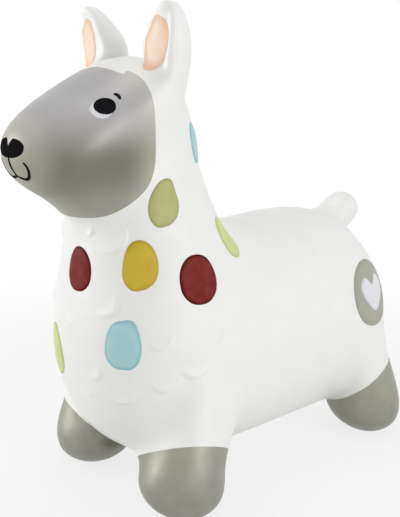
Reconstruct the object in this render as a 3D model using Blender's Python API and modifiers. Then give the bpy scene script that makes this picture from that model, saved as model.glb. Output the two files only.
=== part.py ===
"""Inflatable bouncy llama, a ride-on for small children.

The real toy is one rotocast PVC skin, blown up through a valve in its belly and closed by a plug.
Its colours are sprayed on through masks. Here the skin is one hollow shell, the plug slides out
of its valve, and each sprayed coat is its own thin solid on the skin.

Frame: +Z up, the llama looks along -Y, its left side is +X, and the floor is at Z = 0.
Units are metres.
"""

import math

import bmesh
import bpy
from mathutils import Quaternion, Vector
from mathutils.bvhtree import BVHTree

# Trunk
WHEELBASE = 0.340
TRACK = 0.181
BELLY_HEIGHT = 0.035
TRUNK_DEPTH = 0.277
TRUNK_WIDTH = 0.242

# Neck and head
NECK_RISE = 0.187
HEAD_LENGTH = 0.238
HEAD_WIDTH = 0.156
POLL_SETBACK = 0.070

# Legs
FOOT_WIDTH = 0.098
SOLE_WIDTH = 0.036
LEG_HEIGHT = 0.085
LEG_SPLAY = 0.012

# Tail
TAIL_WIDTH = 0.046
TAIL_LENGTH = 0.046
TAIL_TILT = math.radians(34)

# Ears
EAR_LENGTH = 0.100
EAR_WIDTH = 0.054
EAR_DEPTH = 0.048
EAR_GAP = 0.140
EAR_RISE = 0.061
EAR_TURN = math.radians(4)
EAR_RIM = 0.006
EAR_HOLLOW = 0.006

# Skin and coats
WALL = 0.002
COAT_THICKNESS = 0.0005
SEAT_GAP = 0.0003

# Valve
VALVE_SETBACK = 0.165
NECK_RADIUS = 0.013
NECK_LENGTH = 0.011
RECESS_DEPTH = 0.0022
PLUG_HEAD_RADIUS = 0.0105
PLUG_HEAD_THICKNESS = 0.0019
PLUG_STEM_RADIUS = 0.0045
PLUG_TAPER = 0.003

# Face coat
FACE_DROP = 0.159
FACE_BACK = -0.022
FACE_CORNER = 0.055
FRINGE_WIDTH = 0.086
FRINGE_EDGE = -0.040
FRINGE_CORNER = 0.012

# Foot coats
FOOT_COAT_HEIGHT = 0.0705
REAR_FOOT_COAT_HEIGHT = 0.090

# Eyes
PUPIL_SIZE = 0.021
EYE_WHITE_SIZE = 0.0235
EYE_WHITE_SHIFT = 0.0034
EYE_WHITE_TURN = math.radians(-117)
LASH_LENGTH = 0.009
LASH_WIDTH = 0.0027
LASH_DISTANCE = 0.0181
LASH_TURN = math.radians(42)
LASH_SLANT = math.radians(-57)

# Nose and mouth
NOSE_WIDTH = 0.042
NOSE_HEIGHT = 0.0205
NOSE_DROP = 0.0815
MOUTH_LINE = 0.0018
MOUTH_DROP = 0.111
SMILE_REACH = 0.0165
SMILE_RADIUS = 0.0085
SMILE_SAG = 0.0015

# Ear linings, spots and rump disc
LINING_WIDTH = 0.033
LINING_HEIGHT = 0.058
SPOT_WIDTH = 0.038
SPOT_HEIGHT = 0.049
DISC_SIZE = 0.085
HEART_SIZE = 0.050

SEAT_HEIGHT = BELLY_HEIGHT + TRUNK_DEPTH
CROWN_HEIGHT = SEAT_HEIGHT + NECK_RISE
EAR_TOP = CROWN_HEIGHT + EAR_RISE
FACE_BOTTOM = CROWN_HEIGHT - FACE_DROP
NOSE_CENTRE_HEIGHT = CROWN_HEIGHT - NOSE_DROP
MOUTH_HEIGHT = CROWN_HEIGHT - MOUTH_DROP

# One section of the body has a point at each of these angles from its top, and their mirrors.
HALF_ANGLES = [0, 24, 46, 74, 104, 136, 162, 180]
SECTOR_ANGLES = HALF_ANGLES + [360 - angle for angle in HALF_ANGLES[-2:0:-1]]
SECTORS = len(SECTOR_ANGLES)
# The lower half of a section is squarer than an ellipse, whose share is 1.
BELLY_FULLNESS_SHARE = 0.8


def draw_in(points):
    """How far out a ring of so many cage points lies, as a share of its rounded radius."""
    return 6 / (4 + 2 * math.cos(math.tau / points))


# Sections of the trunk: top y and z, bottom y and z, half width. The y shares are of the
# wheelbase behind the front feet, and the z shares of the trunk's depth over the belly.
TRUNK_SHARES = [
    (1.085, 0.660, 1.095, 0.370, 0.38),
    (1.060, 0.790, 1.070, 0.210, 0.70),
    (1.022, 0.874, 1.020, 0.080, 0.88),
    (0.920, 0.955, 0.945, 0.015, 0.97),
    (0.820, 0.985, 0.850, 0.000, 1.00),
    (0.700, 1.000, 0.680, 0.000, 1.00),
    (0.575, 0.995, 0.500, 0.000, 1.00),
    (0.465, 0.985, 0.299, 0.000, 0.99),
    (0.395, 0.985, 0.130, 0.012, 0.98),
]
# Sections of the chest and neck: as above, but the top z shares are of the neck's rise.
CHEST_SHARES = [
    (0.337, 0.030, -0.005, 0.050, 0.970),
    (0.292, 0.130, -0.118, 0.130, 0.95),
    (0.256, 0.240, -0.200, 0.265, 0.92),
    (0.231, 0.350, -0.240, 0.435, 0.86),
    (0.216, 0.460, -0.243, 0.635, 0.78),
    (0.207, 0.560, -0.225, 0.835, 0.69),
]
# Sections of the head: top y and z, bottom y and z, half width. The y shares are of the head's
# length before the poll, and the z shares of the neck's rise.
HEAD_SHARES = [
    (0.010, 0.670, 0.566, 0.089, 1.00),
    (0.051, 0.840, 0.608, 0.122, 0.95),
    (0.140, 0.985, 0.668, 0.164, 0.95),
    (0.300, 1.055, 0.731, 0.223, 0.98),
    (0.470, 0.980, 0.794, 0.295, 0.96),
    (0.640, 0.872, 0.852, 0.360, 0.84),
    (0.790, 0.762, 0.893, 0.412, 0.61),
    (0.905, 0.628, 0.925, 0.482, 0.32),
]
# Levels of a leg, from its top down: height shares of the leg, radius shares of the foot, and
# rise of the outer edge as a share of the radius.
LEG_SHARES = [(0.58, 1.00, 0.34), (0.36, 1.00, 0.06), (0.15, 0.90, 0.0)]
SOLE_SHARES = [1.55, 0.85]
# Levels of the tail: length shares and radius shares.
TAIL_SHARES = [(0.32, 1.04), (0.70, 1.06), (1.00, 0.78)]
TAIL_FLARE_SHARE = 1.30
# Levels of an ear: height shares, half width shares, half depth shares, how far the middle lies
# behind and inboard of the tip as shares of depth and width, and how far the outer edge droops.
EAR_SHARES = [
    (0.34, 1.04, 1.08, 0.27, 0.31, 0.55),
    (0.54, 1.02, 1.06, 0.25, 0.27, 0.25),
    (0.72, 0.86, 0.88, 0.18, 0.16, 0.10),
    (0.92, 0.56, 0.60, 0.06, 0.05, 0.00),
    (1.00, 0.26, 0.28, 0.00, 0.00, 0.00),
]
# Spots: name, paint, turn in degrees from straight ahead towards the left, then how far under the
# crown they lie as a share of the neck's rise, and their height and width of a common spot's.
SPOT_SHARES = [
    ("chest_middle", "red", 3, 1.161, 0.96, 1.00),
    ("shoulder_left", "yellow", 54, 1.102, 1.06, 0.97),
    ("flank_left", "red", 90, 1.198, 1.06, 1.18),
    ("throat_left", "khaki", 73, 0.761, 1.00, 0.90),
    ("chest_left", "teal", 43, 1.545, 1.10, 1.08),
    ("chest_right", "lime", -26, 1.705, 1.22, 0.95),
    ("neck_back_left", "teal", 123, 0.454, 0.92, 0.80),
    ("withers_left", "lime", 130, 1.022, 1.14, 0.90),
    ("shoulder_right", "teal", -54, 1.094, 1.04, 1.00),
    ("flank_right", "khaki", -92, 1.193, 1.06, 1.10),
    ("throat_right", "yellow", -73, 0.769, 1.00, 0.92),
    ("belly_right", "red", -70, 1.534, 1.08, 1.08),
    ("neck_back_right", "lime", -123, 0.459, 0.92, 0.80),
    ("withers_right", "teal", -130, 1.022, 1.20, 0.92),
]
# The spots face away from an upright line through the neck, this share of the wheelbase back.
SPOT_AXIS_SHARE = 0.03
SPOT_TAPER_SHARE = -0.16
# The eye looks out from a point of the middle plane: shares of the head's length before the poll,
# and of the neck's rise.
EYE_ORIGIN_SHARES = (0.458, 0.433)
EYE_TURN = 60.3
EYE_RISE = 42.8
# The rump disc faces out from a point of the middle plane: shares of wheelbase and trunk depth.
DISC_ORIGIN_SHARES = (0.84, 0.49)
DISC_TURN = 102
DISC_RISE = 17.5
LINING_HEIGHT_SHARE = 0.58
LINING_MIDDLE_SHARES = (0.20, 0.20)
LINING_TAPER_SHARE = -0.30
NOSE_NOTCH_SHARE = 0.48
HEART_NOTCH_SHARE = 0.30
HEART_TAPER_SHARE = 0.45
# How far a foot coat's edge rises, per length outwards and per length backwards.
FOOT_COAT_SLOPE_SHARE = 0.58
FRONT_COAT_RISE_SHARE = -0.35
REAR_COAT_RISE_SHARE = 0.60

# Paints: colour, roughness
PAINTS = {
    "white": ("#efefee", 0.45),
    "grey": ("#a3a29a", 0.42),
    "black": ("#1d1c1f", 0.30),
    "peach": ("#f7d3b4", 0.50),
    "red": ("#7e2a2a", 0.40),
    "yellow": ("#cdb43f", 0.40),
    "khaki": ("#b6b779", 0.40),
    "teal": ("#9ccbcf", 0.40),
    "lime": ("#cddb8f", 0.40),
}

# Points round an outline that is cut from the skin's surface.
OUTLINE_POINTS = 24
TURN_STEPS = 32

# Where the legs, the tail and the ears grow: sections counted from the rump, then sectors.
REAR_LEG_ROOT = (2, 3, 4)
FRONT_LEG_ROOT = (8, 9, 10)
TAIL_ROOT = (1, 2, 3)
EAR_ROOT = (16, 17, 18)
LEG_SECTORS = (4, 5, 6)
TAIL_SECTORS = (-1, 0, 1)
EAR_SECTORS = (1, 2, 3)


def ring_points(dorsal, ventral, half_width):
    """Cage points of one section, from its top and bottom points in the middle plane."""
    middle = (dorsal + ventral) / 2
    reach = draw_in(SECTORS)
    points = []
    for angle in SECTOR_ANGLES:
        turn = math.radians(angle)
        end = dorsal if math.cos(turn) > 0 else ventral
        point = middle + (end - middle) * abs(math.cos(turn)) * reach
        fullness = 1 if math.cos(turn) > 0 else BELLY_FULLNESS_SHARE
        out = math.copysign(abs(math.sin(turn)) ** fullness, math.sin(turn))
        points.append(point + Vector((half_width * out * reach, 0, 0)))
    return points


def section_list():
    """Every section of the body, from the rump to the nose, as lists of cage points."""
    sections = []
    for top_y, top_z, low_y, low_z, wide in TRUNK_SHARES:
        dorsal = Vector((0, top_y * WHEELBASE, BELLY_HEIGHT + top_z * TRUNK_DEPTH))
        ventral = Vector((0, low_y * WHEELBASE, BELLY_HEIGHT + low_z * TRUNK_DEPTH))
        sections.append(ring_points(dorsal, ventral, wide * TRUNK_WIDTH / 2))
    for top_y, top_z, low_y, low_z, wide in CHEST_SHARES:
        dorsal = Vector((0, top_y * WHEELBASE, SEAT_HEIGHT + top_z * NECK_RISE))
        ventral = Vector((0, low_y * WHEELBASE, BELLY_HEIGHT + low_z * TRUNK_DEPTH))
        sections.append(ring_points(dorsal, ventral, wide * TRUNK_WIDTH / 2))
    for top_y, top_z, low_y, low_z, wide in HEAD_SHARES:
        dorsal = Vector((0, POLL_SETBACK - top_y * HEAD_LENGTH, SEAT_HEIGHT + top_z * NECK_RISE))
        ventral = Vector((0, POLL_SETBACK - low_y * HEAD_LENGTH, SEAT_HEIGHT + low_z * NECK_RISE))
        sections.append(ring_points(dorsal, ventral, wide * HEAD_WIDTH / 2))
    return sections


def copied_verts(places, geometry):
    """The vertex that an extrusion has just made at each of these places."""
    by_place = {tuple(item.co): item for item in geometry if isinstance(item, bmesh.types.BMVert)}
    return [by_place[place] for place in places]


def extruded_tube(cage, sections):
    """Draws a ring through every section. Returns the rings' vertices."""
    ring = bmesh.ops.create_circle(cage, segments=SECTORS, radius=1, cap_ends=False)["verts"]
    rings = []
    for points in sections:
        if rings:
            edges = [edge for edge in cage.edges if set(edge.verts) <= set(ring)]
            places = [tuple(vert.co) for vert in ring]
            made = bmesh.ops.extrude_edge_only(cage, edges=edges)["geom"]
            ring = copied_verts(places, made)
        rings.append(ring)
        for vert, point in zip(ring, points):
            vert.co = point
    for ring in (rings[0], rings[-1]):
        edges = [edge for edge in cage.edges if set(edge.verts) <= set(ring)]
        bmesh.ops.edgeloop_fill(cage, edges=edges)
    return rings


def grow(cage, rings, root, sectors, levels):
    """Grows a limb from the patch between these rings and sectors, through the given levels.

    A level is the limb's centre there, and its half widths across the sectors and along the
    rings. Returns the grid of vertices at each level, the root first.
    """
    grid = [[rings[k][i % SECTORS] for i in sectors] for k in root]
    verts = {vert for row in grid for vert in row}
    faces = [face for face in cage.faces if set(face.verts) <= verts]
    grids = [grid]
    for centre, across, along in levels:
        places = [tuple(vert.co) for row in grid for vert in row]
        edges = {edge for face in faces for edge in face.edges}
        corners = {vert for face in faces for vert in face.verts}
        made = bmesh.ops.extrude_face_region(cage, geom=[*faces, *edges, *corners])["geom"]
        faces = [item for item in made if isinstance(item, bmesh.types.BMFace)]
        flat = copied_verts(places, made)
        grid = [flat[k : k + len(sectors)] for k in range(0, len(flat), len(sectors))]
        grids.append(grid)
        for a, row in enumerate(grid):
            for b, vert in enumerate(row):
                away = Vector((b - 1, a - 1))
                if away.length:
                    away = away.normalized() * draw_in(8)
                vert.co = centre + across * away.x + along * away.y
    return grids


def add_leg(cage, rings, root, side, foot_y, lean):
    """Grows one leg, down to a flat sole."""
    top = Vector((side * (TRACK / 2 - LEG_SPLAY), foot_y - lean, LEG_HEIGHT))
    foot = Vector((side * TRACK / 2, foot_y, 0))
    sizes = [(rise, wide * FOOT_WIDTH / 2, slant) for rise, wide, slant in LEG_SHARES]
    sizes += [(0, wide * SOLE_WIDTH / 2, 0) for wide in SOLE_SHARES]
    levels = []
    for rise, radius, slant in sizes:
        across = Vector((-side * radius, 0, -slant * radius))
        levels.append((foot.lerp(top, rise), across, Vector((0, -radius, 0))))
    return grow(cage, rings, root, [side * sector for sector in LEG_SECTORS], levels)


def add_tail(cage, rings):
    """Grows the tail, up and back from the rump."""
    low, root, high = (rings[k][0].co.copy() for k in TAIL_ROOT)
    way = Vector((0, math.cos(TAIL_TILT), math.sin(TAIL_TILT)))
    upright = Vector((0, -way.z, way.y))
    flare = TAIL_FLARE_SHARE * TAIL_WIDTH / 2
    levels = [(root, Vector((flare, 0, 0)), (high - low).normalized() * flare)]
    for reach, wide in TAIL_SHARES:
        radius = wide * TAIL_WIDTH / 2
        centre = root + way * reach * TAIL_LENGTH
        levels.append((centre, Vector((radius, 0, 0)), upright * radius))
    return grow(cage, rings, TAIL_ROOT, TAIL_SECTORS, levels)


def add_ear(cage, rings, side):
    """Grows one ear, with its hollow front turned a little outwards."""
    tip, outward, front = ear_frame(side)
    levels = []
    for rise, wide, deep, behind, inboard, droop in EAR_SHARES:
        centre = tip - Vector((0, 0, (1 - rise) * EAR_LENGTH))
        centre += Vector((-side * inboard * EAR_WIDTH, behind * EAR_DEPTH, 0))
        across = (outward - Vector((0, 0, droop))) * wide * EAR_WIDTH / 2
        levels.append((centre, across, front * deep * EAR_DEPTH / 2))
    grids = grow(cage, rings, EAR_ROOT, [side * sector for sector in EAR_SECTORS], levels)
    face_verts = {vert for grid in grids[1:-1] for vert in grid[-1]}
    faces = [face for face in cage.faces if set(face.verts) <= face_verts]
    bmesh.ops.inset_region(cage, faces=faces, thickness=EAR_RIM, use_even_offset=True)
    inner = {vert for face in faces for vert in face.verts}
    for vert in inner:
        vert.co -= front * EAR_HOLLOW


def ear_frame(side):
    """The tip of an ear, and the ways out and to the front of it."""
    tip = Vector((side * EAR_GAP / 2, 0, EAR_TOP))
    outward = Vector((side * math.cos(EAR_TURN), math.sin(EAR_TURN), 0))
    front = Vector((side * math.sin(EAR_TURN), -math.cos(EAR_TURN), 0))
    return tip, outward, front


def build_cage():
    """The closed, coarse cage of the whole animal."""
    cage = bmesh.new()
    rings = extruded_tube(cage, section_list())
    for side in (1, -1):
        add_leg(cage, rings, FRONT_LEG_ROOT, side, 0, 0)
        add_leg(cage, rings, REAR_LEG_ROOT, side, WHEELBASE, LEG_SPLAY)
        add_ear(cage, rings, side)
    add_tail(cage, rings)
    bmesh.ops.recalc_face_normals(cage, faces=cage.faces)
    return cage


def skin_surface(levels):
    """The outer surface of the skin, as a mesh of triangles."""
    cage = build_cage()
    mesh = bpy.data.meshes.new("skin_cage")
    cage.to_mesh(mesh)
    cage.free()
    guide = bpy.data.objects.new("skin_cage", mesh)
    bpy.context.scene.collection.objects.link(guide)
    rounding = guide.modifiers.new("rounding", "SUBSURF")
    rounding.levels = levels
    rounding.render_levels = levels
    guide.modifiers.new("facets", "TRIANGULATE").quad_method = "FIXED"
    graph = bpy.context.evaluated_depsgraph_get()
    surface = bpy.data.meshes.new_from_object(guide.evaluated_get(graph))
    surface.name = "skin_surface"
    bpy.data.objects.remove(guide)
    return surface


class Workshop:
    """Holds what every piece is made from: the surface, the collections and the common parent."""

    def __init__(self, surface):
        self.surface = surface
        self.surface_tree = tree_of(surface)
        self.parts = new_collection("bouncy_llama")
        self.cutters = new_collection("cutters")
        self.root = bpy.data.objects.new("llama", None)
        self.parts.objects.link(self.root)

    def add_part(self, name, mesh, paint):
        """A visible piece, in its own paint."""
        piece = bpy.data.objects.new(name, mesh)
        self.parts.objects.link(piece)
        piece.parent = self.root
        mesh.shade_smooth()
        mesh.materials.clear()
        mesh.materials.append(new_material(name, *PAINTS[paint]))
        return piece

    def add_cutter(self, name, shape):
        """A hidden solid that cuts, or bounds, a visible one. Uses up its bmesh."""
        bmesh.ops.recalc_face_normals(shape, faces=shape.faces)
        mesh = bpy.data.meshes.new(name)
        shape.to_mesh(mesh)
        shape.free()
        cutter = bpy.data.objects.new(name, mesh)
        self.cutters.objects.link(cutter)
        cutter.parent = self.root
        cutter.hide_render = True
        cutter.display_type = "WIRE"
        return cutter

    def add_coat(self, name, paint, mask, hidden_by=None, layer=0):
        """A thin coat on the skin, inside its mask. A later layer lies on an earlier one."""
        lift = SEAT_GAP + layer * (COAT_THICKNESS + SEAT_GAP)
        coat = self.add_part(name, patch_under(self.surface, mask, lift), paint)
        body = coat.modifiers.new("thickness", "SOLIDIFY")
        body.thickness = COAT_THICKNESS
        body.offset = 1
        add_boolean(coat, "INTERSECT", mask)
        if hidden_by:
            add_boolean(coat, "DIFFERENCE", hidden_by)
        return coat

    def seat(self, start, way, reach):
        """Where this way out of the body meets its surface, and which way it faces round there."""
        place = self.surface_tree.ray_cast(start, way)[0]
        normals = [found[1] for found in self.surface_tree.find_nearest_range(place, reach)]
        return place, sum(normals, Vector()).normalized()


def new_collection(name):
    """An empty collection in the scene."""
    collection = bpy.data.collections.new(name)
    bpy.context.scene.collection.children.link(collection)
    return collection


def tree_of(mesh):
    """A search tree over a mesh's faces."""
    shape = bmesh.new()
    shape.from_mesh(mesh)
    tree = BVHTree.FromBMesh(shape)
    shape.free()
    return tree


def linear(channel):
    """A linear colour channel, from an sRGB one between 0 and 255."""
    share = channel / 255
    return share / 12.92 if share <= 0.04045 else ((share + 0.055) / 1.055) ** 2.4


def new_material(name, colour, roughness):
    """A painted or moulded PVC surface."""
    material = bpy.data.materials.new(name)
    material.use_nodes = True
    shader = material.node_tree.nodes["Principled BSDF"]
    channels = [linear(int(colour[k : k + 2], 16)) for k in (1, 3, 5)]
    shader.inputs["Base Color"].default_value = (*channels, 1)
    shader.inputs["Roughness"].default_value = roughness
    shader.inputs["Metallic"].default_value = 0
    material.diffuse_color = (*channels, 1)
    return material


def add_boolean(piece, operation, other):
    """Cuts a piece with another, or joins them."""
    step = piece.modifiers.new(operation.lower(), "BOOLEAN")
    step.operation = operation
    step.solver = "EXACT"
    step.object = other


def patch_under(surface, mask, lift):
    """The part of the surface that lies near a mask, lifted along its normals."""
    corners = [mask.matrix_basis @ vert.co for vert in mask.data.vertices]
    margin = Vector((1, 1, 1)) * TRUNK_WIDTH / 6
    low = Vector(map(min, zip(*corners))) - margin
    high = Vector(map(max, zip(*corners))) + margin
    shape = bmesh.new()
    shape.from_mesh(surface)
    shape.normal_update()
    for vert in shape.verts:
        vert.co += vert.normal * lift
    near = {v for v in shape.verts if all(a < c < b for a, c, b in zip(low, v.co, high))}
    far = [face for face in shape.faces if not near.intersection(face.verts)]
    bmesh.ops.delete(shape, geom=far, context="FACES")
    mesh = bpy.data.meshes.new("coat")
    shape.to_mesh(mesh)
    shape.free()
    return mesh


def rounded_outline(wide, tall, taper=0, notch=0):
    """An ellipse, wider towards its top by a taper, and with a notch in its top.

    The taper is a share of the width, and the notch is a share of the height.
    """
    points = []
    for k in range(OUTLINE_POINTS):
        turn = math.tau * k / OUTLINE_POINTS
        across = math.sin(turn)
        up = math.cos(turn)
        dent = notch * max(up, 0) * math.exp(-((4 * across) ** 2))
        points.append((wide / 2 * across * (1 + taper * up), tall * (up / 2 - dent)))
    return points


def stroke_outline(path, width):
    """The outline of a line of some width along a path, with square ends."""
    left = []
    right = []
    for k, point in enumerate(path):
        along = Vector(path[min(k + 1, len(path) - 1)]) - Vector(path[max(k - 1, 0)])
        side = Vector((-along.y, along.x)).normalized() * width / 2
        left.append(tuple(Vector(point) + side))
        right.append(tuple(Vector(point) - side))
    return left + right[::-1]


def prism(outline, reach):
    """A straight solid over an outline in the XY plane, this far up and down from it."""
    shape = bmesh.new()
    face = bmesh.ops.create_circle(shape, segments=len(outline), radius=1, cap_ends=True)
    for vert, (across, up) in zip(face["verts"], outline):
        vert.co = Vector((across, up, -reach))
    made = bmesh.ops.extrude_face_region(shape, geom=list(shape.faces))["geom"]
    for vert in (item for item in made if isinstance(item, bmesh.types.BMVert)):
        vert.co.z = reach
    return shape


def turned_solid(profile):
    """A closed turned solid about Z, from (radius, height) points that start and end on Z."""
    shape = bmesh.new()
    verts = [shape.verts.new((radius, 0, height)) for radius, height in profile]
    edges = [shape.edges.new(pair) for pair in zip(verts, verts[1:])]
    bmesh.ops.spin(
        shape,
        geom=verts + edges,
        axis=(0, 0, 1),
        cent=(0, 0, 0),
        angle=math.tau,
        steps=TURN_STEPS,
        use_merge=True,
    )
    bmesh.ops.remove_doubles(shape, verts=shape.verts, dist=SEAT_GAP / 10)
    bmesh.ops.recalc_face_normals(shape, faces=shape.faces)
    return shape


def block(low, high):
    """A box between two corners."""
    shape = bmesh.new()
    bmesh.ops.create_cube(shape, size=1)
    for vert in shape.verts:
        vert.co = Vector([a if c < 0 else b for a, c, b in zip(low, vert.co, high)])
    return shape


def rounded_edges(shape, radius, chosen):
    """Rounds the chosen edges of a solid."""
    edges = [edge for edge in shape.edges if chosen(*(vert.co for vert in edge.verts))]
    bmesh.ops.bevel(shape, geom=edges, offset=radius, segments=8, profile=0.5, affect="EDGES")


def place_facing(cutter, place, normal):
    """Puts a cutter at a place, with its Z along the normal and its Y upwards."""
    cutter.location = place
    cutter.rotation_mode = "QUATERNION"
    cutter.rotation_quaternion = normal.to_track_quat("Z", "Y")


def direction(turn, rise=0):
    """The way that is turned from straight ahead towards the left, and rises, in degrees."""
    flat = math.cos(math.radians(rise))
    across = math.sin(math.radians(turn)) * flat
    ahead = math.cos(math.radians(turn)) * flat
    return Vector((across, -ahead, math.sin(math.radians(rise))))


def side_name(side):
    """The animal's left is at +X."""
    return "left" if side > 0 else "right"


def build_skin(shop):
    """The hollow skin, with the neck of its valve. Returns the valve's place."""
    skin = shop.add_part("skin", shop.surface.copy(), "white")
    wall = skin.modifiers.new("wall", "SOLIDIFY")
    wall.thickness = WALL
    wall.offset = -1
    below = Vector((0, VALVE_SETBACK, 0))
    valve = shop.surface_tree.ray_cast(below, Vector((0, 0, 1)))[0]
    bore = PLUG_STEM_RADIUS + SEAT_GAP
    recess = PLUG_HEAD_RADIUS + SEAT_GAP
    top = WALL / 2 + NECK_LENGTH
    neck = [(0, WALL / 2), (NECK_RADIUS, WALL / 2), (NECK_RADIUS, top), (0, top)]
    hole = [(0, -WALL), (recess, -WALL), (recess, RECESS_DEPTH), (bore, RECESS_DEPTH)]
    hole += [(bore, top + WALL), (0, top + WALL)]
    for name, profile, operation in (("valve_neck", neck, "UNION"), ("valve_bore", hole, "DIFFERENCE")):
        cutter = shop.add_cutter(name, turned_solid(profile))
        cutter.location = valve
        add_boolean(skin, operation, cutter)
    return valve


def build_valve_plug(shop, valve):
    """The push-in plug. Its origin is on the axis that it is pulled out along."""
    head = RECESS_DEPTH - SEAT_GAP
    foot = head - PLUG_HEAD_THICKNESS
    tip = WALL / 2 + NECK_LENGTH
    profile = [(0, foot), (PLUG_HEAD_RADIUS, foot), (PLUG_HEAD_RADIUS, head)]
    profile += [(PLUG_STEM_RADIUS, head), (PLUG_STEM_RADIUS, tip - PLUG_TAPER)]
    profile += [(PLUG_STEM_RADIUS - PLUG_TAPER / 2, tip), (0, tip)]
    mesh = bpy.data.meshes.new("valve_plug")
    shape = turned_solid(profile)
    shape.to_mesh(mesh)
    shape.free()
    plug = shop.add_part("valve_plug", mesh, "white")
    plug.location = valve


def build_face(shop):
    """The grey mask over the face. The white fringe of wool hides the middle of its top edge."""
    front = POLL_SETBACK - 1.5 * HEAD_LENGTH
    wide = Vector((HEAD_WIDTH, 0, 0))
    low = Vector((0, front, FACE_BOTTOM)) - wide
    high = Vector((0, FACE_BACK, EAR_TOP)) + wide
    shape = block(low, high)
    rounded_edges(shape, FACE_CORNER, lambda a, b: a.yz == b.yz == Vector((FACE_BACK, FACE_BOTTOM)))
    mask = shop.add_cutter("face_mask", shape)
    half = Vector((FRINGE_WIDTH / 2, 0, 0))
    low = Vector((0, FRINGE_EDGE, SEAT_HEIGHT + NECK_RISE / 2)) - half
    high = Vector((0, POLL_SETBACK, EAR_TOP)) + half
    shape = block(low, high)
    rounded_edges(shape, FRINGE_CORNER, lambda a, b: a.xy == b.xy and a.y < 0)
    fringe = shop.add_cutter("fringe", shape)
    shop.add_coat("face_coat", "grey", mask, hidden_by=fringe)


def build_foot_coats(shop):
    """The grey feet. The upper edge of each coat rises outwards, and along the animal."""
    rows = [
        ("front", 0, FOOT_COAT_HEIGHT, FRONT_COAT_RISE_SHARE),
        ("rear", WHEELBASE, REAR_FOOT_COAT_HEIGHT, REAR_COAT_RISE_SHARE),
    ]
    reach = 0.8 * FOOT_WIDTH
    for end, foot_y, height, rise in rows:
        for side in (1, -1):
            foot = Vector((side * TRACK / 2, foot_y, 0))
            across = sorted((side * SEAT_GAP, foot.x + side * reach))
            low = Vector((across[0], foot_y - reach, -WALL))
            high = Vector((across[1], foot_y + reach, height))
            shape = block(low, high)
            for vert in (vert for vert in shape.verts if vert.co.z > 0):
                away = vert.co - foot
                vert.co.z += FOOT_COAT_SLOPE_SHARE * side * away.x + rise * away.y
            name = f"foot_coat_{end}_{side_name(side)}"
            shop.add_coat(name, "grey", shop.add_cutter(f"{name}_mask", shape))


def build_ear_linings(shop):
    """The peach linings in the hollows of the ears."""
    behind, inboard = LINING_MIDDLE_SHARES
    for side in (1, -1):
        tip, _, front = ear_frame(side)
        middle = tip - Vector((0, 0, (1 - LINING_HEIGHT_SHARE) * EAR_LENGTH))
        middle += Vector((-side * inboard * EAR_WIDTH, behind * EAR_DEPTH, 0))
        place = shop.surface_tree.ray_cast(middle, front)[0]
        outline = rounded_outline(LINING_WIDTH, LINING_HEIGHT, LINING_TAPER_SHARE)
        mask = shop.add_cutter(f"lining_mask_{side_name(side)}", prism(outline, EAR_DEPTH / 4))
        place_facing(mask, place, front)
        shop.add_coat(f"ear_lining_{side_name(side)}", "peach", mask)


def build_eyes(shop):
    """Round pupils over a little white, each with a lash behind and above."""
    ahead, up = EYE_ORIGIN_SHARES
    start = Vector((0, POLL_SETBACK - ahead * HEAD_LENGTH, SEAT_HEIGHT + up * NECK_RISE))
    for side in (1, -1):
        place, normal = shop.seat(start, direction(side * EYE_TURN, EYE_RISE), PUPIL_SIZE)
        name = side_name(side)

        def eye_mask(kind, wide, tall, away=0, turn=0, roll=0):
            outline = rounded_outline(wide, tall)
            mask = shop.add_cutter(f"{kind}_mask_{name}", prism(outline, PUPIL_SIZE / 2))
            place_facing(mask, place, normal)
            shift = Vector((side * math.cos(turn), math.sin(turn), 0)) * away
            mask.location += mask.rotation_quaternion @ shift
            mask.rotation_quaternion = mask.rotation_quaternion @ Quaternion((0, 0, 1), side * roll)
            return mask

        pupil = eye_mask("pupil", PUPIL_SIZE, PUPIL_SIZE)
        shop.add_coat(f"pupil_{name}", "black", pupil, layer=1)
        hole = eye_mask("pupil_hole", PUPIL_SIZE + 2 * SEAT_GAP, PUPIL_SIZE + 2 * SEAT_GAP)
        white = eye_mask("eye_white", EYE_WHITE_SIZE, EYE_WHITE_SIZE, EYE_WHITE_SHIFT, EYE_WHITE_TURN)
        shop.add_coat(f"eye_white_{name}", "white", white, hidden_by=hole, layer=1)
        lash = eye_mask("lash", LASH_LENGTH, LASH_WIDTH, LASH_DISTANCE, LASH_TURN, LASH_SLANT)
        shop.add_coat(f"lash_{name}", "black", lash, layer=1)


def build_nose_and_mouth(shop):
    """The black nose and mouth, sprayed from straight ahead."""
    ahead = Vector((0, -1, 0))
    front = POLL_SETBACK - HEAD_LENGTH
    reach = HEAD_LENGTH / 5
    nose_place = Vector((0, front, NOSE_CENTRE_HEIGHT))
    outline = rounded_outline(NOSE_WIDTH, NOSE_HEIGHT, notch=NOSE_NOTCH_SHARE)
    nose = shop.add_cutter("nose_mask", prism(outline, reach))
    place_facing(nose, nose_place, ahead)
    shop.add_coat("nose_coat", "black", nose, layer=1)
    right = []
    for step in range(9):
        turn = math.radians(-90 + 160 * step / 8)
        right.append((SMILE_REACH + SMILE_RADIUS * math.cos(turn), SMILE_RADIUS * math.sin(turn)))
    middle = [(0, SMILE_SAG - SMILE_RADIUS)]
    path = [(-across, up) for across, up in right[::-1]] + middle + right
    smile = shop.add_cutter("smile_mask", prism(stroke_outline(path, MOUTH_LINE), reach))
    place_facing(smile, Vector((0, front, MOUTH_HEIGHT + SMILE_RADIUS)), ahead)
    top = NOSE_CENTRE_HEIGHT - NOSE_HEIGHT / 2 - SEAT_GAP
    low = MOUTH_HEIGHT + SMILE_SAG
    line = rounded_line(MOUTH_LINE, top - low)
    philtrum = shop.add_cutter("philtrum_mask", prism(line, reach))
    place_facing(philtrum, Vector((0, front, (top + low) / 2)), ahead)
    add_boolean(smile, "UNION", philtrum)
    shop.add_coat("mouth_coat", "black", smile, layer=1)


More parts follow.
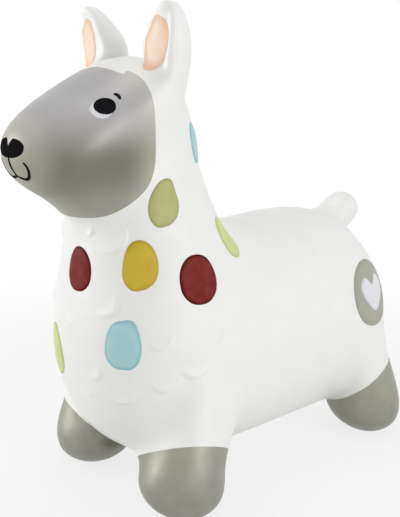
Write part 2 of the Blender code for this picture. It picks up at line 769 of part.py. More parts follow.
def rounded_line(wide, tall):
    """A plain upright strip."""
    return [(-wide / 2, tall / 2), (wide / 2, tall / 2), (wide / 2, -tall / 2), (-wide / 2, -tall / 2)]


def build_spots(shop):
    """Egg-shaped spots round the chest and the neck."""
    for place_name, paint, turn, drop, tall, wide in SPOT_SHARES:
        start = Vector((0, SPOT_AXIS_SHARE * WHEELBASE, CROWN_HEIGHT - drop * NECK_RISE))
        place, normal = shop.seat(start, direction(turn), SPOT_WIDTH / 2)
        outline = rounded_outline(wide * SPOT_WIDTH, tall * SPOT_HEIGHT, SPOT_TAPER_SHARE)
        name = f"spot_{place_name}"
        mask = shop.add_cutter(f"{name}_mask", prism(outline, SPOT_WIDTH / 2))
        place_facing(mask, place, normal)
        shop.add_coat(name, paint, mask)


def build_rump_disc(shop):
    """The round grey badge on the left of the rump, with a plain heart."""
    back, up = DISC_ORIGIN_SHARES
    start = Vector((0, back * WHEELBASE, BELLY_HEIGHT + up * TRUNK_DEPTH))
    place, normal = shop.seat(start, direction(DISC_TURN, DISC_RISE), DISC_SIZE / 2)
    outline = rounded_outline(DISC_SIZE, DISC_SIZE)
    mask = shop.add_cutter("disc_mask", prism(outline, DISC_SIZE / 2))
    place_facing(mask, place, normal)
    shop.add_coat("rump_disc", "grey", mask)
    outline = rounded_outline(HEART_SIZE, HEART_SIZE, HEART_TAPER_SHARE, HEART_NOTCH_SHARE)
    heart = shop.add_cutter("heart_mask", prism(outline, DISC_SIZE / 2))
    place_facing(heart, place, normal)
    shop.add_coat("rump_heart", "white", heart, layer=1)


def stand_on_floor(shop):
    """Moves the whole model so that its box stands centred on the origin."""
    bpy.context.view_layer.update()
    graph = bpy.context.evaluated_depsgraph_get()
    corners = []
    for piece in shop.parts.objects:
        if piece.type == "MESH":
            corners += [piece.matrix_world @ Vector(c) for c in piece.evaluated_get(graph).bound_box]
    backs = [corner.y for corner in corners]
    floor = min(corner.z for corner in corners)
    shop.root.location = (0, -(min(backs) + max(backs)) / 2, -floor)


def main():
    """Clears the scene and builds the toy."""
    for old in list(bpy.data.objects):
        bpy.data.objects.remove(old)
    shop = Workshop(skin_surface(1))
    build_valve_plug(shop, build_skin(shop))
    build_face(shop)
    build_foot_coats(shop)
    build_ear_linings(shop)
    build_eyes(shop)
    build_nose_and_mouth(shop)
    build_spots(shop)
    build_rump_disc(shop)
    stand_on_floor(shop)


if __name__ == "__main__":
    main()
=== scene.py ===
"""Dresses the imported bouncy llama, a blown-up ride-on for small children, for a studio picture.

The real toy is one rotocast PVC skin with a plug in its belly, and coats of paint sprayed on
through masks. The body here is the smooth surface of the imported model's own coarse cage, with
the curls of the fleece moulded into it. Every coat is draped over that surface or cut from it.

Units are metres. +Z is up, the llama looks along -Y, and its left side is +X.
"""

import logging
import math
from collections.abc import Callable, Iterable, Sequence
from dataclasses import dataclass, field
from enum import Enum
from typing import Any, TypeVar

import bmesh
import bpy
import numpy as np
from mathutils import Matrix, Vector
from mathutils.bvhtree import BVHTree

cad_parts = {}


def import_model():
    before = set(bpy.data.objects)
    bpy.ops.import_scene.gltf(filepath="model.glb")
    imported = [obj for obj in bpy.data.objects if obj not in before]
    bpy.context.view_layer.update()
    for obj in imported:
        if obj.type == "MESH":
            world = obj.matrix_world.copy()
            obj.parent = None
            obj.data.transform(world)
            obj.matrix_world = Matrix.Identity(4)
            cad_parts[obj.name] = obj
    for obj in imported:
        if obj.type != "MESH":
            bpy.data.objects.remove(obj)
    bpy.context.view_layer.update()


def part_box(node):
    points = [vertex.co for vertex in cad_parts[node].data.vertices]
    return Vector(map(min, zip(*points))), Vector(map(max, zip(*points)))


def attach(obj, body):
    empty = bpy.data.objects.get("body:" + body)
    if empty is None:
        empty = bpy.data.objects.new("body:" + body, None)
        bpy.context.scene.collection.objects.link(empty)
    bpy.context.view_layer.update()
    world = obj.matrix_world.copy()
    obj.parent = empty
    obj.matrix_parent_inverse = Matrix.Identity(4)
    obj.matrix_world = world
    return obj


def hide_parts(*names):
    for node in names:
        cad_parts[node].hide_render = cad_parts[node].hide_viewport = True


Shape = bmesh.types.BMesh
Corner = bmesh.types.BMVert
Ring = list[Corner]
Piece = bpy.types.Object
Tree = bpy.types.NodeTree
Socket = bpy.types.NodeSocket
Pair = tuple[float, float]
Triple = tuple[float, float, float]
Section = tuple[float, float, float, float, float]
LimbLevel = tuple[Vector, Vector, Vector]
Knot = TypeVar("Knot", float, Vector)

LOG = logging.getLogger("bouncy_llama")
UP = Vector((0, 0, 1))
AHEAD = Vector((0, -1, 0))
PAPER_WHITE = "#e8e8e7"
LIGHT_WHITE = "#ffffff"
# Octaves of noise in clouds of colour, and in fine grain.
CLOUD_DETAIL, FINE_DETAIL = 3.0, 2.0
# How much further than its own lift a coat that is cut from the skin lies over it.
CUT_GAP = 0.0001
# Straight steps between two points of a mask's edge, and of a drawn line.
EDGE_STEPS, LINE_STEPS = 6, 8
# Where a drawn line lies between a coat's middle and its painted shade at the edge: clear of both.
LINE_RIM = 0.5


class Slot(Enum):
    """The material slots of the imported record."""

    SKIN = "white_pvc"
    PLUG = "plug_pvc"
    WHITE = "white_paint"
    GREY = "grey_paint"
    BLACK = "black_paint"
    PEACH = "peach_paint"
    RED = "red_paint"
    YELLOW = "yellow_paint"
    KHAKI = "khaki_paint"
    TEAL = "teal_paint"
    LIME = "lime_paint"


class Mover(Enum):
    """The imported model's bodies."""

    ANIMAL = "animal"
    PLUG = "plug"


class Side(Enum):
    """The animal's own sides, as the sign of X."""

    LEFT = 1
    RIGHT = -1

    @property
    def word(self) -> str:
        """The side's name in the names of the nodes."""
        return self.name.lower()


def linear_colour(code: str) -> tuple[float, float, float, float]:
    """Turns an sRGB hex colour to the linear one that the shaders take.

    Args:
        code: Six hex digits after a hash.

    Returns:
        Linear red, green and blue, with an alpha of 1.
    """
    shares = [int(code[k : k + 2], 16) / 255 for k in (1, 3, 5)]
    red, green, blue = (s / 12.92 if s <= 0.04045 else ((s + 0.055) / 1.055) ** 2.4 for s in shares)
    return red, green, blue, 1.0


def fill(node: bpy.types.Node, inputs: dict[str | int, Any]) -> None:
    """Fills a node's inputs with values, or links them to output sockets.

    Args:
        node: The node.
        inputs: Values or output sockets, by the input's name or number.
    """
    for key, value in inputs.items():
        if isinstance(value, Socket):
            node.id_data.links.new(value, node.inputs[key])
        else:
            node.inputs[key].default_value = value


def add_node(
    tree: Tree, kind: str, inputs: dict[str | int, Any] | None = None, **settings: Any
) -> bpy.types.Node:
    """Adds a node with its settings, and fills or links its inputs.

    Args:
        tree: The node tree that the node joins.
        kind: The node's Blender type name, after its "ShaderNode".
        inputs: Values or output sockets, by the input's name or number.
        **settings: Properties of the node itself.

    Returns:
        The new node.
    """
    node = tree.nodes.new("ShaderNode" + kind)
    for name, value in settings.items():
        setattr(node, name, value)
    fill(node, inputs or {})
    return node


@dataclass(frozen=True)
class Finish:
    """A surface's material: two colours in soft clouds, with a grain and a shine of its own.

    Attributes:
        name: The real material and how its surface was made.
        colour: The colour that most of the surface has.
        cloud: The colour that it drifts to, in soft clouds.
        cloud_size: How far across one cloud is.
        roughness: The least and the greatest roughness.
        shine: The strength of the top layer's reflection, where 0.5 is the index's own.
        glow: How much light comes back from just under the surface.
        pearl: How much of the surface is bright flake.
        ior: The refractive index of the top layer.
        grain_size: How far across one bump of the moulded or sprayed grain is.
        grain_height: How high such a bump stands.
        glow_spread: How far the red, green and blue light spreads, as shares of the next.
        glow_depth: How deep that light goes.
    """

    name: str
    colour: str
    cloud: str
    cloud_size: float = 0.030
    roughness: Pair = (0.38, 0.48)
    shine: float = 0.5
    glow: float = 0.0
    pearl: float = 0.0
    ior: float = 1.53
    grain_size: float = 0.0016
    grain_height: float = 0.00002
    glow_spread: Triple = (1.0, 0.9, 0.8)
    glow_depth: float = 0.004

    def base(self, tree: Tree, place: Socket) -> Socket:
        """Gives the colour before any grain.

        Args:
            tree: The material's nodes.
            place: Object coordinates.

        Returns:
            The socket that carries the colour.
        """
        clouds = self.blotches(tree, place, self.cloud_size, CLOUD_DETAIL)
        shades = {0: clouds, 6: linear_colour(self.colour), 7: linear_colour(self.cloud)}
        return add_node(tree, "Mix", shades, data_type="RGBA").outputs[2]

    @staticmethod
    def blotches(tree: Tree, place: Socket, size: float, detail: float) -> Socket:
        """Adds noise whose blotches are about this far across.

        Args:
            tree: The material's nodes.
            place: Object coordinates.
            size: The size of one blotch.
            detail: How many finer octaves the noise has.

        Returns:
            The noise's factor, with its usual range of 0.3 to 0.7 spread over 0 to 1.
        """
        noise = add_node(tree, "TexNoise", {"Vector": place, "Scale": 1 / size, "Detail": detail})
        spread = {"Value": noise.outputs[0], "From Min": 0.3, "From Max": 0.7}
        return add_node(tree, "MapRange", spread).outputs[0]

    def material(self) -> bpy.types.Material:
        """Makes the material, or finds it if it is made already.

        Returns:
            The material.
        """
        if self.name in bpy.data.materials:
            return bpy.data.materials[self.name]
        material = bpy.data.materials.new(self.name)
        material.use_nodes = True
        tree = material.node_tree
        place = add_node(tree, "TexCoord").outputs["Object"]
        shade = self.base(tree, place)
        mottle = self.blotches(tree, place, self.cloud_size / 2, FINE_DETAIL)
        low, high = self.roughness
        gloss = add_node(tree, "MapRange", {"Value": mottle, "To Min": low, "To Max": high})
        grain = self.blotches(tree, place, self.grain_size, FINE_DETAIL)
        bumps = {"Height": grain, "Distance": self.grain_height, "Strength": 1.0}
        looks = {
            "Base Color": shade,
            "Roughness": gloss.outputs[0],
            "Normal": add_node(tree, "Bump", bumps).outputs[0],
            "IOR": self.ior,
            "Metallic": self.pearl,
            "Specular IOR Level": self.shine,
            "Subsurface Weight": self.glow,
            "Subsurface Radius": self.glow_spread,
            "Subsurface Scale": self.glow_depth,
        }
        fill(tree.nodes["Principled BSDF"], looks)
        material.diffuse_color = linear_colour(self.colour)
        return material


@dataclass(frozen=True)
class SprayedPaint(Finish):
    """Vinyl paint sprayed through a mask, darker along its edge as painted shade.

    Attributes:
        rim: The colour of the painted shade along the coat's edge.
        rim_start: Where the painted shade at the edge starts, as a share of the way from the
            middle.
    """

    rim: str = "#000000"
    rim_start: float = 0.80

    def base(self, tree: Tree, place: Socket) -> Socket:
        """Gives the colour, drawn to the painted shade's along the edge.

        Args:
            tree: The material's nodes.
            place: Object coordinates.

        Returns:
            The socket that carries the colour.
        """
        # Painted shade: the colour darkens towards the coat's edge, from where that shade starts.
        out = add_node(tree, "Attribute", attribute_name="rim").outputs["Fac"]
        near = add_node(
            tree, "MapRange", {"Value": out, "From Min": self.rim_start, "From Max": 1.0},
            interpolation_type="SMOOTHSTEP",
        )
        plain = Finish.base(self, tree, place)
        shades = {0: near.outputs[0], 6: plain, 7: linear_colour(self.rim)}
        return add_node(tree, "Mix", shades, data_type="RGBA").outputs[2]


@dataclass(frozen=True)
class GradedPaint(Finish):
    """Pearl grey paint whose tone by height is painted light and shade, with a painted sheen at its
    ends.

    Attributes:
        tones: Heights, and the colours painted there as light and shade, from the lowest up.
        ends: From where to where a painted sheen grows forwards, and then backwards.
        pale: The colour of that painted sheen.
        pale_share: How far the painted sheen gets there.
    """

    shine: float = 0.4
    tones: tuple[tuple[float, str], ...] = ()
    ends: tuple[Pair, Pair] = ((-9.0, -10.0), (9.0, 10.0))
    pale: str = "#cbc7ba"
    pale_share: float = 0.40

    def base(self, tree: Tree, place: Socket) -> Socket:
        """Gives the colour: painted light and shade graded by height, a painted sheen, and clouds.

        Args:
            tree: The material's nodes.
            place: Object coordinates.

        Returns:
            The socket that carries the colour.
        """
        parts = add_node(tree, "SeparateXYZ", {0: place}).outputs
        # Painted light and shade: the colour follows the height, darker under the cheek and lighter
        # near the floor.
        low, high = self.tones[0][0], self.tones[-1][0]
        span = {"Value": parts["Z"], "From Min": low, "From Max": high}
        ramp = add_node(tree, "ValToRGB", {0: add_node(tree, "MapRange", span).outputs[0]})
        ramp.color_ramp.interpolation = "B_SPLINE"
        stops = ramp.color_ramp.elements
        for k, (level, code) in enumerate(self.tones):
            at = (level - low) / (high - low)
            stop = stops[k] if k < 2 else stops.new(at)
            stop.position = at
            stop.color = linear_colour(code)
        # Painted sheen: paler towards the front and towards the back.
        sheen_fades = {}
        for k, (start, end) in enumerate(self.ends):
            span = {"Value": parts["Y"], "From Min": start, "From Max": end}
            span["To Max"] = self.pale_share
            fade = add_node(tree, "MapRange", span, interpolation_type="SMOOTHSTEP")
            sheen_fades[k] = fade.outputs[0]
        sheen_amount = add_node(tree, "Math", sheen_fades, operation="MAXIMUM").outputs[0]
        shades = {0: sheen_amount, 6: ramp.outputs[0], 7: linear_colour(self.pale)}
        with_sheen = add_node(tree, "Mix", shades, data_type="RGBA").outputs[2]
        clouds = self.blotches(tree, place, self.cloud_size, CLOUD_DETAIL)
        shades = {0: clouds, 6: with_sheen, 7: linear_colour(self.cloud)}
        mix = add_node(tree, "Mix", shades, data_type="RGBA", blend_type="MULTIPLY")
        return mix.outputs[2]


# Soft white vinyl: satin, never quite even, and faintly translucent at thin edges.
WHITE_VINYL = Finish("rotocast_white_pvc", "#efefed", "#ecece9", glow=0.06)
# Clear-based vinyl of the plug: a little greyer and smoother than the skin.
PLUG_VINYL = Finish("moulded_plug_pvc", "#e6e6e2", "#dcdcd6", 0.012, (0.28, 0.36), glow=0.2)
# Grey face: pearl paint, a cool lilac grey above. Its tones by height are painted light and shade:
# the deep olive grey under the cheek is painted shade, and the lighter grey at the chin is painted
# light from the floor. Its paler front and back are a painted sheen.
FACE_GREY = GradedPaint(
    "sprayed_pearl_grey_face", "#a9a7a8", "#f4f4f2", 0.045, (0.40, 0.48), pearl=0.30,
    tones=(
        (0.340, "#aaa89e"), (0.366, "#97968b"), (0.384, "#818074"), (0.404, "#79776b"),
        (0.418, "#85847b"), (0.434, "#aaa8a5"), (0.450, "#b0aeaf"), (0.500, "#aeacad"),
    ),
    ends=((-0.236, -0.262), (-0.178, -0.142)),
)
# Grey feet: the same paint, warmer and flatter, scuffed into soft clouds, and a little darker
# towards the floor as painted shade.
FOOT_GREY = GradedPaint(
    "sprayed_grey_feet", "#9b9a8e", "#f0f0ec", 0.020, (0.36, 0.46), pearl=0.40,
    tones=((0.0, "#96958d"), (0.03, "#95948c"), (0.06, "#9d9c90"), (0.12, "#a4a397")),
)
# Flat sprayed colours: satin and softly clouded, each darker along its edge as painted shade.
# The eyes' and the heart's white is smoother and cooler than the skin, the badge has the feet's
# grey without their grade of painted shade, and the black has no glint at all. The brick red is
# nearly matt.
PAINTS = {
    slot: SprayedPaint("sprayed_" + name, colour, cloud, size, roughness, shine, rim=rim)
    for slot, name, colour, cloud, rim, size, roughness, shine in (
        (Slot.WHITE, "eye_white", "#e6e4ea", "#e0dee4", "#d4d2d8", 0.010, (0.30, 0.36), 0.35),
        (Slot.GREY, "grey_badge", "#a8a79b", "#a3a296", "#9c9b90", 0.030, (0.38, 0.48), 0.35),
        (Slot.BLACK, "black_enamel", "#1a191c", "#1e1d20", "#161518", 0.008, (0.42, 0.52), 0.0),
        # The brick red's lighter cloud colour is a painted sheen, spread in random patches.
        (Slot.RED, "brick_red", "#752624", "#823935", "#541716", 0.014, (0.30, 0.38), 0.03),
        (Slot.YELLOW, "mustard", "#d0b53c", "#c6ab34", "#b99d2c", 0.014, (0.36, 0.44), 0.2),
        (Slot.KHAKI, "khaki", "#bab97f", "#b0b074", "#a5a568", 0.014, (0.38, 0.46), 0.25),
        (Slot.TEAL, "pale_teal", "#abd4d7", "#a5cfd2", "#8cbcc0", 0.014, (0.38, 0.46), 0.25),
        (Slot.LIME, "pale_lime", "#d0db96", "#c8d38b", "#bcc880", 0.014, (0.38, 0.46), 0.25),
    )
}
# The ears' peach deepens from well inside its edge towards it, as painted shade of the ear's
# hollow.
PAINTS[Slot.PEACH] = SprayedPaint(
    "sprayed_peach_lining", "#f9e2cf", "#f5d7bd", 0.010, (0.46, 0.54), 0.35, rim="#efc3a0",
    rim_start=0.62,
)


def of_kind(made: Iterable[Any], kind: type) -> list[Any]:
    """Picks the vertices, edges or faces out of what an operator made."""
    return [item for item in made if isinstance(item, kind)]


def copies_at(places: Iterable[tuple[float, ...]], made: Iterable[Any]) -> Ring:
    """Finds the vertices that an extrusion has just copied from these places."""
    by_place = {tuple(vert.co): vert for vert in of_kind(made, Corner)}
    return [by_place[place] for place in places]


def edges_within(shape: Shape, ring: Ring) -> list[bmesh.types.BMEdge]:
    """Finds the edges of a mesh that join two of these vertices."""
    return [edge for edge in shape.edges if set(edge.verts) <= set(ring)]


def plain_object(name: str, shape: Shape) -> Piece:
    """Puts a bmesh in a new object of the scene.

    Args:
        name: The object's name.
        shape: Its mesh, in place. It is used up, here and wherever this is called.

    Returns:
        The object, at the origin.
    """
    mesh = bpy.data.meshes.new(name)
    shape.to_mesh(mesh)
    shape.free()
    piece = bpy.data.objects.new(name, mesh)
    bpy.context.scene.collection.objects.link(piece)
    return piece


def modify(piece: Piece, kind: str, **settings: Any) -> None:
    """Puts a modifier on a piece.

    Args:
        piece: The piece.
        kind: The modifier's Blender type name.
        **settings: Its settings.
    """
    modifier = piece.modifiers.new(kind.lower(), kind)
    for name, value in settings.items():
        setattr(modifier, name, value)


def evaluated(piece: Piece) -> Shape:
    """Takes an object's mesh with its modifiers applied, and removes the object.

    Args:
        piece: The object.

    Returns:
        The mesh.
    """
    shape = bmesh.new()
    shape.from_object(piece, bpy.context.evaluated_depsgraph_get())
    bpy.data.objects.remove(piece)
    shape.normal_update()
    return shape


def trimmed(shape: Shape, steps: Sequence[tuple[str, Shape]]) -> Shape:
    """Cuts a closed shape with others, one after another.

    Args:
        shape: The shape that is cut.
        steps: The name of each Boolean operation, and its cutter.

    Returns:
        The shape that is left.
    """
    piece = plain_object("trimmed", shape)
    cutters = [plain_object("cutter", cutter) for _, cutter in steps]
    for (operation, _), cutter in zip(steps, cutters):
        modify(piece, "BOOLEAN", operation=operation, solver="EXACT", object=cutter)
    left = evaluated(piece)
    for cutter in cutters:
        bpy.data.objects.remove(cutter)
    return left


def thickened(shape: Shape, thick: float) -> Shape:
    """Gives an open surface a thickness outwards, which closes it.

    Args:
        shape: The surface.
        thick: The thickness.

    Returns:
        The closed shape.
    """
    piece = plain_object("patch", shape)
    modify(piece, "SOLIDIFY", thickness=thick, offset=1)
    return evaluated(piece)


@dataclass(frozen=True)
class LlamaBody:
    """The coarse cage of the whole animal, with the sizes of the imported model.

    Each section is a top y and z, a bottom y and z, and a half width, as shares. The y shares of
    the trunk and chest are of the wheelbase behind the front feet, and those of the head are of
    its length before the poll. The z shares are of the trunk's depth or of the neck's rise.

    Attributes:
        stand: Where the middle of the line through the front feet lies.
        toe: How far outwards and backwards the front feet stand from the track's line.
        leg: At each level its height, its radius, and the rise of its outer edge, as shares.
        sole: The radii of the sole and of its middle, as shares.
        tail: At each level how far out it lies, and its radius, as shares.
        ear: At each level its height, half width and half depth, how far its middle lies
            behind and inboard of the tip, and the droop of its outer edge, as shares.
    """

    stand: Triple = (0.0, -0.121578, 0.0008)
    wheelbase: float = 0.340
    track: float = 0.181
    toe: Pair = (0.0020, 0.0015)
    belly_height: float = 0.035
    trunk_depth: float = 0.277
    trunk_width: float = 0.242
    neck_rise: float = 0.187
    head_length: float = 0.238
    head_width: float = 0.156
    poll_setback: float = 0.070
    foot_width: float = 0.098
    sole_width: float = 0.036
    leg_height: float = 0.085
    leg_splay: float = 0.012
    tail_width: float = 0.046
    tail_length: float = 0.050
    tail_tilt: float = math.radians(28)
    tail_flare: float = 1.08
    ear_length: float = 0.100
    ear_width: float = 0.054
    ear_depth: float = 0.048
    ear_gap: float = 0.140
    ear_rise: float = 0.061
    ear_turn: float = math.radians(4)
    ear_rim: float = 0.006
    ear_hollow: float = 0.006
    belly_fullness: float = 0.8
    spot_axis: float = 0.03
    half_angles: tuple[int, ...] = (0, 24, 46, 74, 104, 136, 162, 180)
    trunk: tuple[Section, ...] = (
        (1.085, 0.660, 1.095, 0.370, 0.38),
        (1.060, 0.790, 1.070, 0.210, 0.70),
        (1.022, 0.874, 1.020, 0.080, 0.88),
        (0.920, 0.955, 0.945, 0.015, 0.97),
        (0.820, 0.985, 0.850, 0.000, 1.00),
        (0.700, 0.990, 0.680, 0.000, 1.00),
        (0.575, 0.984, 0.500, 0.000, 1.00),
        (0.465, 0.976, 0.299, 0.000, 0.99),
        (0.395, 0.981, 0.130, 0.012, 0.98),
    )
    chest: tuple[Section, ...] = (
        (0.331, 0.018, -0.005, 0.050, 0.97),
        (0.279, 0.116, -0.118, 0.130, 0.95),
        (0.250, 0.240, -0.200, 0.265, 0.92),
        (0.226, 0.350, -0.240, 0.435, 0.86),
        (0.209, 0.460, -0.243, 0.635, 0.78),
        (0.202, 0.560, -0.218, 0.835, 0.67),
    )
    head: tuple[Section, ...] = (
        (0.010, 0.670, 0.566, 0.089, 1.00),
        (0.051, 0.840, 0.608, 0.130, 0.95),
        (0.140, 0.993, 0.668, 0.206, 0.95),
        (0.300, 1.060, 0.731, 0.270, 0.98),
        (0.470, 0.972, 0.794, 0.315, 0.96),
        (0.640, 0.861, 0.852, 0.371, 0.82),
        (0.800, 0.760, 0.892, 0.432, 0.52),
        (0.914, 0.640, 0.922, 0.500, 0.23),
    )
    leg: tuple[Triple, ...] = ((0.58, 1.00, 0.34), (0.36, 1.00, 0.06), (0.165, 0.865, 0.0))
    sole: Pair = (1.18, 0.60)
    tail: tuple[Pair, ...] = ((0.32, 1.04), (0.70, 1.06), (1.00, 0.78))
    ear: tuple[tuple[float, ...], ...] = (
        (0.34, 0.96, 0.93, 0.22, 0.33, 0.55),
        (0.54, 1.00, 1.01, 0.24, 0.28, 0.25),
        (0.72, 0.86, 0.88, 0.18, 0.16, 0.10),
        (0.92, 0.55, 0.51, 0.10, 0.04, 0.00),
        (1.00, 0.26, 0.28, 0.00, 0.00, 0.00),
    )
    rear_leg_root: tuple[int, ...] = (2, 3, 4)
    front_leg_root: tuple[int, ...] = (8, 9, 10)
    tail_root: tuple[int, ...] = (1, 2, 3)
    ear_root: tuple[int, ...] = (16, 17, 18)
    leg_sectors: tuple[int, ...] = (4, 5, 6)
    tail_sectors: tuple[int, ...] = (-1, 0, 1)
    ear_sectors: tuple[int, ...] = (1, 2, 3)

    @property
    def seat_height(self) -> float:
        """The height of the back."""
        return self.belly_height + self.trunk_depth

    @property
    def crown_height(self) -> float:
        """The height of the head's top."""
        return self.seat_height + self.neck_rise

    @property
    def angles(self) -> list[int]:
        """The angles of one section's points, in degrees from its top."""
        return [*self.half_angles, *(360 - angle for angle in self.half_angles[-2:0:-1])]

    def at(self, x: float, y: float, z: float) -> Vector:
        """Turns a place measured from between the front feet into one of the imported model."""
        return Vector((x, y, z)) + Vector(self.stand)

    def spot_start(self, drop: float) -> Vector:
        """A place in the neck, this share of its rise under the crown, to face away from."""
        height = self.crown_height - drop * self.neck_rise
        return self.at(0, self.spot_axis * self.wheelbase, height)

    def draw_in(self, points: int) -> float:
        """How far out a ring of so many cage points lies, as a share of its rounded radius."""
        return 6 / (4 + 2 * math.cos(math.tau / points))

    def section(self, dorsal: Vector, ventral: Vector, half_width: float) -> list[Vector]:
        """Works out the cage points of one section.

        Args:
            dorsal: Its top point in the middle plane.
            ventral: Its bottom point in the middle plane.
            half_width: Half its width.

        Returns:
            The points, from the top round by the left.
        """
        middle = (dorsal + ventral) / 2
        reach = self.draw_in(len(self.angles))
        points = []
        for angle in self.angles:
            turn = math.radians(angle)
            end = dorsal if math.cos(turn) > 0 else ventral
            point = middle + (end - middle) * abs(math.cos(turn)) * reach
            fullness = 1 if math.cos(turn) > 0 else self.belly_fullness
            out = math.copysign(abs(math.sin(turn)) ** fullness, math.sin(turn))
            points.append(point + Vector((half_width * out * reach, 0, 0)))
        return points

    def sections(self) -> list[list[Vector]]:
        """Works out every section of the body.

        Returns:
            The sections' points, from the rump to the nose.
        """
        trunk_rise = (self.belly_height, self.trunk_depth)
        neck_rise = (self.seat_height, self.neck_rise)
        back = (0, self.wheelbase)
        onward = (self.poll_setback, -self.head_length)
        found = []
        for rows, along, above, below, width in (
            (self.trunk, back, trunk_rise, trunk_rise, self.trunk_width),
            (self.chest, back, neck_rise, trunk_rise, self.trunk_width),
            (self.head, onward, neck_rise, neck_rise, self.head_width),
        ):
            for top_y, top_z, low_y, low_z, wide in rows:
                dorsal = Vector((0, along[0] + top_y * along[1], above[0] + top_z * above[1]))
                ventral = Vector((0, along[0] + low_y * along[1], below[0] + low_z * below[1]))
                found.append(self.section(dorsal, ventral, wide * width / 2))
        return found

    def grow(
        self, cage: Shape, rings: list[Ring], root: Sequence[int], sectors: Sequence[int],
        levels: Iterable[LimbLevel],
    ) -> list[list[Ring]]:
        """Grows a limb from a patch of the tube.

        Args:
            cage: The cage.
            rings: The tube's rings.
            root: The rings that the patch spans.
            sectors: The sectors that it spans.
            levels: The limb's middle at each level, and its half widths across and along.

        Returns:
            The grid of vertices at each level, the root first.
        """
        points = len(self.angles)
        grid = [[rings[k][i % points] for i in sectors] for k in root]
        verts = {vert for row in grid for vert in row}
        faces = [face for face in cage.faces if set(face.verts) <= verts]
        grids = [grid]
        for centre, across, along in levels:
            places = [tuple(vert.co) for row in grid for vert in row]
            edges = {edge for face in faces for edge in face.edges}
            corners = {vert for face in faces for vert in face.verts}
            made = bmesh.ops.extrude_face_region(cage, geom=[*faces, *edges, *corners])["geom"]
            faces = of_kind(made, bmesh.types.BMFace)
            flat = copies_at(places, made)
            grid = [flat[k : k + len(sectors)] for k in range(0, len(flat), len(sectors))]
            grids.append(grid)
            for a, row in enumerate(grid):
                for b, vert in enumerate(row):
                    away = Vector((b - 1, a - 1))
                    if away.length:
                        away = away.normalized() * self.draw_in(8)
                    vert.co = centre + across * away.x + along * away.y
        return grids

    def leg_levels(self, side: Side, foot_y: float, lean: float, out: float) -> list[LimbLevel]:
        """Works out the levels of one leg, down to its flat sole.

        Args:
            side: The leg's side.
            foot_y: How far behind the front feet's line its foot stands.
            lean: How far forwards its top leans.
            out: How far outwards of the track its foot stands.

        Returns:
            The levels.
        """
        sign = side.value
        top = Vector((sign * (self.track / 2 - self.leg_splay), foot_y - lean, self.leg_height))
        foot = Vector((sign * (self.track / 2 + out), foot_y, 0))
        sizes = [(rise, wide * self.foot_width / 2, slant) for rise, wide, slant in self.leg]
        sizes += [(0, wide * self.sole_width / 2, 0) for wide in self.sole]
        levels = []
        for rise, radius, slant in sizes:
            across = Vector((-sign * radius, 0, -slant * radius))
            levels.append((foot.lerp(top, rise), across, Vector((0, -radius, 0))))
        return levels

    def tail_levels(self, rings: list[Ring]) -> list[LimbLevel]:
        """Works out the levels of the tail, up and back from the rump.

        Args:
            rings: The tube's rings.

        Returns:
            The levels.
        """
        low, root, high = (rings[k][0].co.copy() for k in self.tail_root)
        way = Vector((0, math.cos(self.tail_tilt), math.sin(self.tail_tilt)))
        upright = Vector((0, -way.z, way.y))
        flare = self.tail_flare * self.tail_width / 2
        levels = [(root, Vector((flare, 0, 0)), (high - low).normalized() * flare)]
        for reach, wide in self.tail:
            radius = wide * self.tail_width / 2
            centre = root + way * reach * self.tail_length
            levels.append((centre, Vector((radius, 0, 0)), upright * radius))
        return levels

    def ear_ways(self, side: Side) -> LimbLevel:
        """Finds where an ear is and which way it faces.

        Args:
            side: The ear's side.

        Returns:
            Its tip, from between the front feet, and the ways outwards and to its front.
        """
        cos, sin = math.cos(self.ear_turn), math.sin(self.ear_turn)
        tip = Vector((side.value * self.ear_gap / 2, 0, self.crown_height + self.ear_rise))
        return tip, Vector((side.value * cos, sin, 0)), Vector((side.value * sin, -cos, 0))

    def add_ear(self, cage: Shape, rings: list[Ring], side: Side) -> None:
        """Grows one ear and hollows its front.

        Args:
            cage: The cage.
            rings: The tube's rings.
            side: The ear's side.
        """
        tip, outward, front = self.ear_ways(side)
        levels = []
        for rise, wide, deep, behind, inboard, droop in self.ear:
            centre = tip - Vector((0, 0, (1 - rise) * self.ear_length))
            shift = (-side.value * inboard * self.ear_width, behind * self.ear_depth, 0)
            across = (outward - Vector((0, 0, droop))) * wide * self.ear_width / 2
            levels.append((centre + Vector(shift), across, front * deep * self.ear_depth / 2))
        sectors = [side.value * sector for sector in self.ear_sectors]
        grids = self.grow(cage, rings, self.ear_root, sectors, levels)
        face_verts = {vert for grid in grids[1:-1] for vert in grid[-1]}
        faces = [face for face in cage.faces if set(face.verts) <= face_verts]
        bmesh.ops.inset_region(cage, faces=faces, thickness=self.ear_rim, use_even_offset=True)
        for vert in {vert for face in faces for vert in face.verts}:
            vert.co -= front * self.ear_hollow

